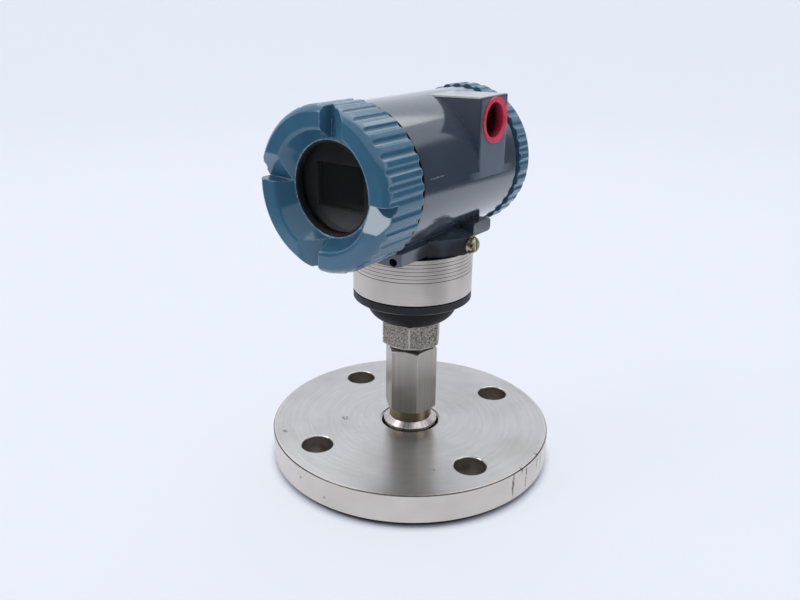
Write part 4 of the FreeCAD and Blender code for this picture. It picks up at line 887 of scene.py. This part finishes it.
materials = {
    "slate": makeSlate(),
    "blue": makeBlue(),
    "flange": makeTurned("turnedSteel", turnedLook),
    "hub": makeTurned("weldedHub", hubLook),
    "bar": makeBar(),
    "cast": makeCast(),
    "band": makeBand(),
    "glass": makeGlass(),
    "plug": makePlug(),
}
for name, (grainedLook, values) in grainedLooks.items():
    materials[name] = makeGrained(name, grainedLook, values)
print("materials made:", len(materials))

# Which material dresses which node
dress = {
    "slate": ["housing", "sensor_module"],
    "blue": ["front_cover", "rear_cover"],
    "flange": ["mounting_flange"],
    "hub": ["seal_hub", "seal_diaphragm"],
    "bar": ["hex_adapter", "pressure_capsule"],
    "cast": ["process_hex"],
    "band": ["nameplate_band"],
    "glass": ["window_glass"],
    "blackNylon": ["module_base"],
    "carrierNylon": ["display_carrier"],
    "mouldedRubber": ["module_o_ring", "front_cover_o_ring", "window_gasket", "rear_cover_o_ring"],
    "lacqueredBoard": ["sensor_board"],
    "dirtyNickelBrass": ["ground_washer", "ground_screw"],
    "blackOxide": ["rotation_set_screw"],
    "bezelBlend": ["window_retainer"],
    "brightZinc": [
        "electronics_screws",
        "terminal_screws",
        "terminal_mount_screws",
        "inner_ground_screw",
        "blank_plug",
    ],
    "pottedResin": ["electronics_module", "feedthrough"],
    "panelFilm": ["display_panel"],
    "phenolic": ["terminal_block"],
    "plug": ["conduit_plug"],
}
for key, members in dress.items():
    for member in members:
        nodes[member].data.materials.clear()
        nodes[member].data.materials.append(materials[key])
print("nodes dressed")

# Display bezel: a round plate behind the glass with a sloped opening for the panel.
# Lengths in millimetres, angles in degrees; "frontNormal" picks the faces that look at the glass
bezelSettings = {
    "radius": 25.2,
    "sides": 96,
    "back": -56.6,
    "front": -59.7,
    "edge": 0.6,
    "edgeSteps": 3,
    "opening": (24, 17),
    "cutThrough": 1.0,
    "slope": 2.6,
    "soften": 0.25,
    "softenSteps": 2,
    "softenAngle": 35,
    "smoothAngle": 30,
    "frontNormal": -0.9,
}


def makeBezel():
    plan = bezelSettings
    wide, tall = plan["opening"]
    depth = (plan["back"] - plan["front"]) * mm
    middle = (0, (plan["back"] + plan["front"]) / 2 * mm, barrelHeight * mm)
    bpy.ops.object.select_all(action="DESELECT")
    bpy.ops.mesh.primitive_cylinder_add(
        vertices=plan["sides"], radius=plan["radius"] * mm, depth=depth,
        location=middle, rotation=(math.pi / 2, 0, 0),
    )
    bezel = bpy.context.active_object
    bezel.name = "displayBezel"
    bpy.ops.object.transform_apply(location=True, rotation=True, scale=True)
    bpy.ops.object.mode_set(mode="EDIT")
    bpy.ops.mesh.select_all(action="DESELECT")
    bpy.ops.object.mode_set(mode="OBJECT")
    for face in bezel.data.polygons:
        face.select = face.normal.y < plan["frontNormal"]
    bpy.ops.object.mode_set(mode="EDIT")
    bpy.ops.mesh.region_to_loop()
    bpy.ops.mesh.bevel(offset=plan["edge"] * mm, segments=plan["edgeSteps"], profile=0.5)
    bpy.ops.object.mode_set(mode="OBJECT")
    # The opening is cut by a block whose front end is wider
    bpy.ops.object.select_all(action="DESELECT")
    bpy.ops.mesh.primitive_cube_add(
        size=1, location=middle, scale=(wide * mm, depth + plan["cutThrough"] * mm, tall * mm),
    )
    cutter = bpy.context.active_object
    bpy.ops.object.transform_apply(location=True, rotation=True, scale=True)
    for face in cutter.data.polygons:
        face.select = face.normal.y < plan["frontNormal"]
    bpy.ops.object.mode_set(mode="EDIT")
    bpy.ops.transform.resize(
        value=(1 + 2 * plan["slope"] / wide, 1, 1 + 2 * plan["slope"] / tall), center_override=middle,
    )
    bpy.ops.object.mode_set(mode="OBJECT")
    cut = bezel.modifiers.new("opening", "BOOLEAN")
    cut.operation = "DIFFERENCE"
    cut.object = cutter
    soften = bezel.modifiers.new("soften", "BEVEL")
    soften.width = plan["soften"] * mm
    soften.segments = plan["softenSteps"]
    soften.limit_method = "ANGLE"
    soften.angle_limit = math.radians(plan["softenAngle"])
    bpy.ops.object.select_all(action="DESELECT")
    bezel.select_set(True)
    bpy.context.view_layer.objects.active = bezel
    bpy.ops.object.modifier_apply(modifier="opening")
    bpy.ops.object.modifier_apply(modifier="soften")
    bpy.ops.object.shade_smooth_by_angle(angle=math.radians(plan["smoothAngle"]))
    bpy.data.objects.remove(cutter)
    bezel.data.materials.append(materials["bezelBlend"])
    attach(bezel, "housing")


makeBezel()
print("bezel made")

# Pale studio sweep: a floor that curves up into a low wall all round, in metres from the part's axis
sweepSettings = {
    "sides": 96,
    "floor": 1.5,
    "curve": 0.7,
    "steps": 8,
    "wall": 0.5,
    "colour": "EBEEF6",
    "fleck": "E6EAF4",
    "fleckMm": 60,
    "plain": "ECF1FC",
    "plainShare": (0.0, 0.78),
    "shadowReach": (0.0812, 0.0862),
    # Painted shadow: colour, distance from the axis and widths of a dark ring on the paper below the
    # flange's edge
    "under": "1B1B1D",
    "underAt": 0.0755,
    "underReach": (0.003, 0.0055),
}


def makeSweep():
    plan = sweepSettings
    bpy.ops.object.select_all(action="DESELECT")
    bpy.ops.mesh.primitive_circle_add(vertices=plan["sides"], radius=plan["floor"], fill_type="NGON")
    sweep = bpy.context.active_object
    sweep.name = "studioSweep"
    bpy.ops.object.mode_set(mode="EDIT")
    bpy.ops.mesh.select_all(action="SELECT")
    bpy.ops.mesh.region_to_loop()
    radiusNow = plan["floor"]
    for step in range(1, plan["steps"] + 1):
        angleNow = step / plan["steps"] * math.pi / 2
        angleBefore = (step - 1) / plan["steps"] * math.pi / 2
        rise = plan["curve"] * (math.cos(angleBefore) - math.cos(angleNow))
        radiusNext = plan["floor"] + plan["curve"] * math.sin(angleNow)
        grow = radiusNext / radiusNow
        bpy.ops.mesh.extrude_edges_move(TRANSFORM_OT_translate={"value": (0, 0, rise)})
        bpy.ops.transform.resize(value=(grow, grow, 1))
        radiusNow = radiusNext
    bpy.ops.mesh.extrude_edges_move(TRANSFORM_OT_translate={"value": (0, 0, plan["wall"])})
    bpy.ops.mesh.select_all(action="SELECT")
    bpy.ops.mesh.normals_make_consistent(inside=True)
    bpy.ops.object.mode_set(mode="OBJECT")
    bpy.ops.object.shade_smooth()
    sweep.data.materials.append(makePaper())


# Matte paper: part of its look is a plain pale tone for the eye and for reflections, and the rest keeps
# the shadow, with a painted shadow: a dark ring painted on the paper below the edge of the flange, where
# it stands clear of the paper
def makePaper():
    look = sweepSettings
    material, tree, shader, place = startMaterial("studioPaper", {"Roughness": 0.9})
    noise = addNode(tree, "ShaderNodeTexNoise", {
        "Vector": place, "Scale": perMm(look["fleckMm"]), "Detail": 4.0,
    })
    tone = addNode(tree, "ShaderNodeMix", {
        0: noise.outputs["Fac"], 6: hexColour(look["colour"]), 7: hexColour(look["fleck"]),
    }, data_type="RGBA")
    away = addNode(tree, "ShaderNodeVectorMath", {0: place}, operation="LENGTH")
    # Painted shadow: a dark ring on the paper below the flange's edge
    off = addNode(tree, "ShaderNodeMath", {
        0: away.outputs["Value"], 1: look["underAt"],
    }, operation="SUBTRACT")
    gap = addNode(tree, "ShaderNodeMath", {0: off.outputs[0]}, operation="ABSOLUTE")
    under = addNode(tree, "ShaderNodeMapRange", {
        "Value": gap.outputs[0], "From Min": look["underReach"][0], "From Max": look["underReach"][1],
    })
    shade = addNode(tree, "ShaderNodeMix", {
        0: under.outputs[0], 6: hexColour(look["under"]), 7: tone.outputs[2],
    }, data_type="RGBA")
    linkShader(tree, shader, {"Base Color": shade.outputs[2]})
    reach = addNode(tree, "ShaderNodeMapRange", {
        "Value": away.outputs["Value"],
        "From Min": look["shadowReach"][0],
        "From Max": look["shadowReach"][1],
        "To Min": look["plainShare"][0],
        "To Max": look["plainShare"][1],
    })
    share = addNode(tree, "ShaderNodeMath", {
        0: seenRays(tree), 1: reach.outputs[0],
    }, operation="MULTIPLY")
    plain = addNode(tree, "ShaderNodeEmission", {"Color": hexColour(look["plain"]), "Strength": 1.0})
    mixed = addNode(tree, "ShaderNodeMixShader", {
        0: share.outputs[0], 1: shader.outputs[0], 2: plain.outputs[0],
    })
    tree.links.new(mixed.outputs[0], tree.nodes["Material Output"].inputs["Surface"])
    return material


makeSweep()

# Dark studio flags, seen only in reflections and in the glass, for the dark middle of the gloss paint.
# Places and sizes are in metres, turns in degrees, and "soft" is a share of the flag's width
flagSettings = [
    {"name": "flagRear", "at": (0.383, 0.377, 0.235), "turn": -36, "size": (0.395, 0.52)},
    {"name": "flagLowSide", "at": (0.37, -0.08, 0.05), "turn": 84, "size": (0.34, 0.12)},
    {"name": "flagLowLeft", "at": (-0.29, -0.41, 0.22), "turn": -36, "size": (0.54, 0.44)},
    {"name": "flagLowMiddle", "at": (0.09, -0.49, 0.22), "turn": 10, "size": (0.54, 0.44)},
    {"name": "flagLowRight", "at": (0.42, -0.28, 0.22), "turn": 56, "size": (0.54, 0.44)},
]
flagLook = {"felt": "3A3D43", "soft": 0.13}


# Dark felt that fades out to nothing at its edges, so that its reflection has no hard border
def makeFelt():
    look = flagLook
    material, tree, shader, place = startMaterial("flagFelt", {})
    tree.nodes.remove(shader)
    outward = addNode(tree, "ShaderNodeVectorMath", {0: place}, operation="ABSOLUTE")
    sides = addNode(tree, "ShaderNodeSeparateXYZ", {0: outward.outputs[0]})
    farther = addNode(tree, "ShaderNodeMath", {
        0: sides.outputs["X"], 1: sides.outputs["Y"],
    }, operation="MAXIMUM")
    fade = addNode(tree, "ShaderNodeMapRange", {
        "Value": farther.outputs[0], "From Min": 0.5 - look["soft"], "From Max": 0.5,
    }, interpolation_type="SMOOTHSTEP")
    tone = addNode(tree, "ShaderNodeEmission", {"Color": hexColour(look["felt"]), "Strength": 1.0})
    clear = addNode(tree, "ShaderNodeBsdfTransparent", {})
    mixed = addNode(tree, "ShaderNodeMixShader", {
        0: fade.outputs[0], 1: tone.outputs[0], 2: clear.outputs[0],
    })
    tree.links.new(mixed.outputs[0], tree.nodes["Material Output"].inputs["Surface"])
    material.cycles.emission_sampling = "NONE"
    return material


felt = makeFelt()
for settings in flagSettings:
    bpy.ops.mesh.primitive_plane_add(
        size=1, location=settings["at"], rotation=(math.pi / 2, 0, math.radians(settings["turn"])),
    )
    flag = bpy.context.active_object
    flag.name = settings["name"]
    flag.scale = (*settings["size"], 1)
    flag.data.materials.append(felt)
    flag.visible_camera = False
    flag.visible_diffuse = False
    flag.visible_shadow = False
print("stage built")

# Broad overhead softbox, a key from the left, a weak fill from the right and a pale room,
# in metres and watts
lampSettings = [
    {"name": "softbox", "at": (-0.25, 0.45, 1.55), "aim": (0, 0, 0.1), "size": 1.7, "power": 15},
    {"name": "fillBox", "at": (1.05, 0.35, 0.62), "aim": (0, 0, 0.13), "size": 0.7, "power": 1.1},
    {"name": "keyBox", "at": (-0.77, -0.92, 1.24), "aim": (0, -0.03, 0.17), "size": 0.6, "power": 6},
]
for settings in lampSettings:
    lampData = bpy.data.lights.new(settings["name"], "AREA")
    lampData.shape = "SQUARE"
    lampData.size = settings["size"]
    lampData.energy = settings["power"]
    lamp = bpy.data.objects.new(settings["name"], lampData)
    bpy.context.scene.collection.objects.link(lamp)
    lamp.location = settings["at"]
    lamp.visible_transmission = False
    lamp.rotation_euler = (Vector(settings["aim"]) - lamp.location).to_track_quat("-Z", "Y").to_euler()

roomSettings = {"colour": "E4E9F4", "lightLevel": 0.55, "seenLevel": 1.0}
world = bpy.data.worlds.new("paleRoom")
world.use_nodes = True
room = world.node_tree.nodes["Background"]
room.inputs["Color"].default_value = hexColour(roomSettings["colour"])
level = addNode(world.node_tree, "ShaderNodeMapRange", {
    "Value": seenRays(world.node_tree),
    "To Min": roomSettings["lightLevel"],
    "To Max": roomSettings["seenLevel"],
})
linkShader(world.node_tree, room, {"Strength": level.outputs[0]})
bpy.context.scene.world = world
print("light set")

# Camera as the photograph was taken: place and aim in metres, a slight roll in degrees,
# lens and sensor in millimetres
viewSettings = {
    "at": (0.24847, -0.35188, 0.26199),
    "aim": (-0.00571, -0.00403, 0.09649),
    "roll": 0.644,
    "lens": 35.976,
    "sensor": 36,
    "nearest": 0.01,
}
cameraData = bpy.data.cameras.new("photoCamera")
cameraData.lens = viewSettings["lens"]
cameraData.sensor_width = viewSettings["sensor"]
cameraData.clip_start = viewSettings["nearest"]
camera = bpy.data.objects.new("photoCamera", cameraData)
bpy.context.scene.collection.objects.link(camera)
camera.location = viewSettings["at"]
gaze = (Vector(viewSettings["aim"]) - Vector(viewSettings["at"])).to_track_quat("-Z", "Y")
rolled = gaze @ Quaternion((0, 0, 1), math.radians(viewSettings["roll"]))
camera.rotation_euler = rolled.to_euler()
bpy.context.scene.camera = camera
bpy.context.scene.view_settings.view_transform = "Standard"
print("camera set")
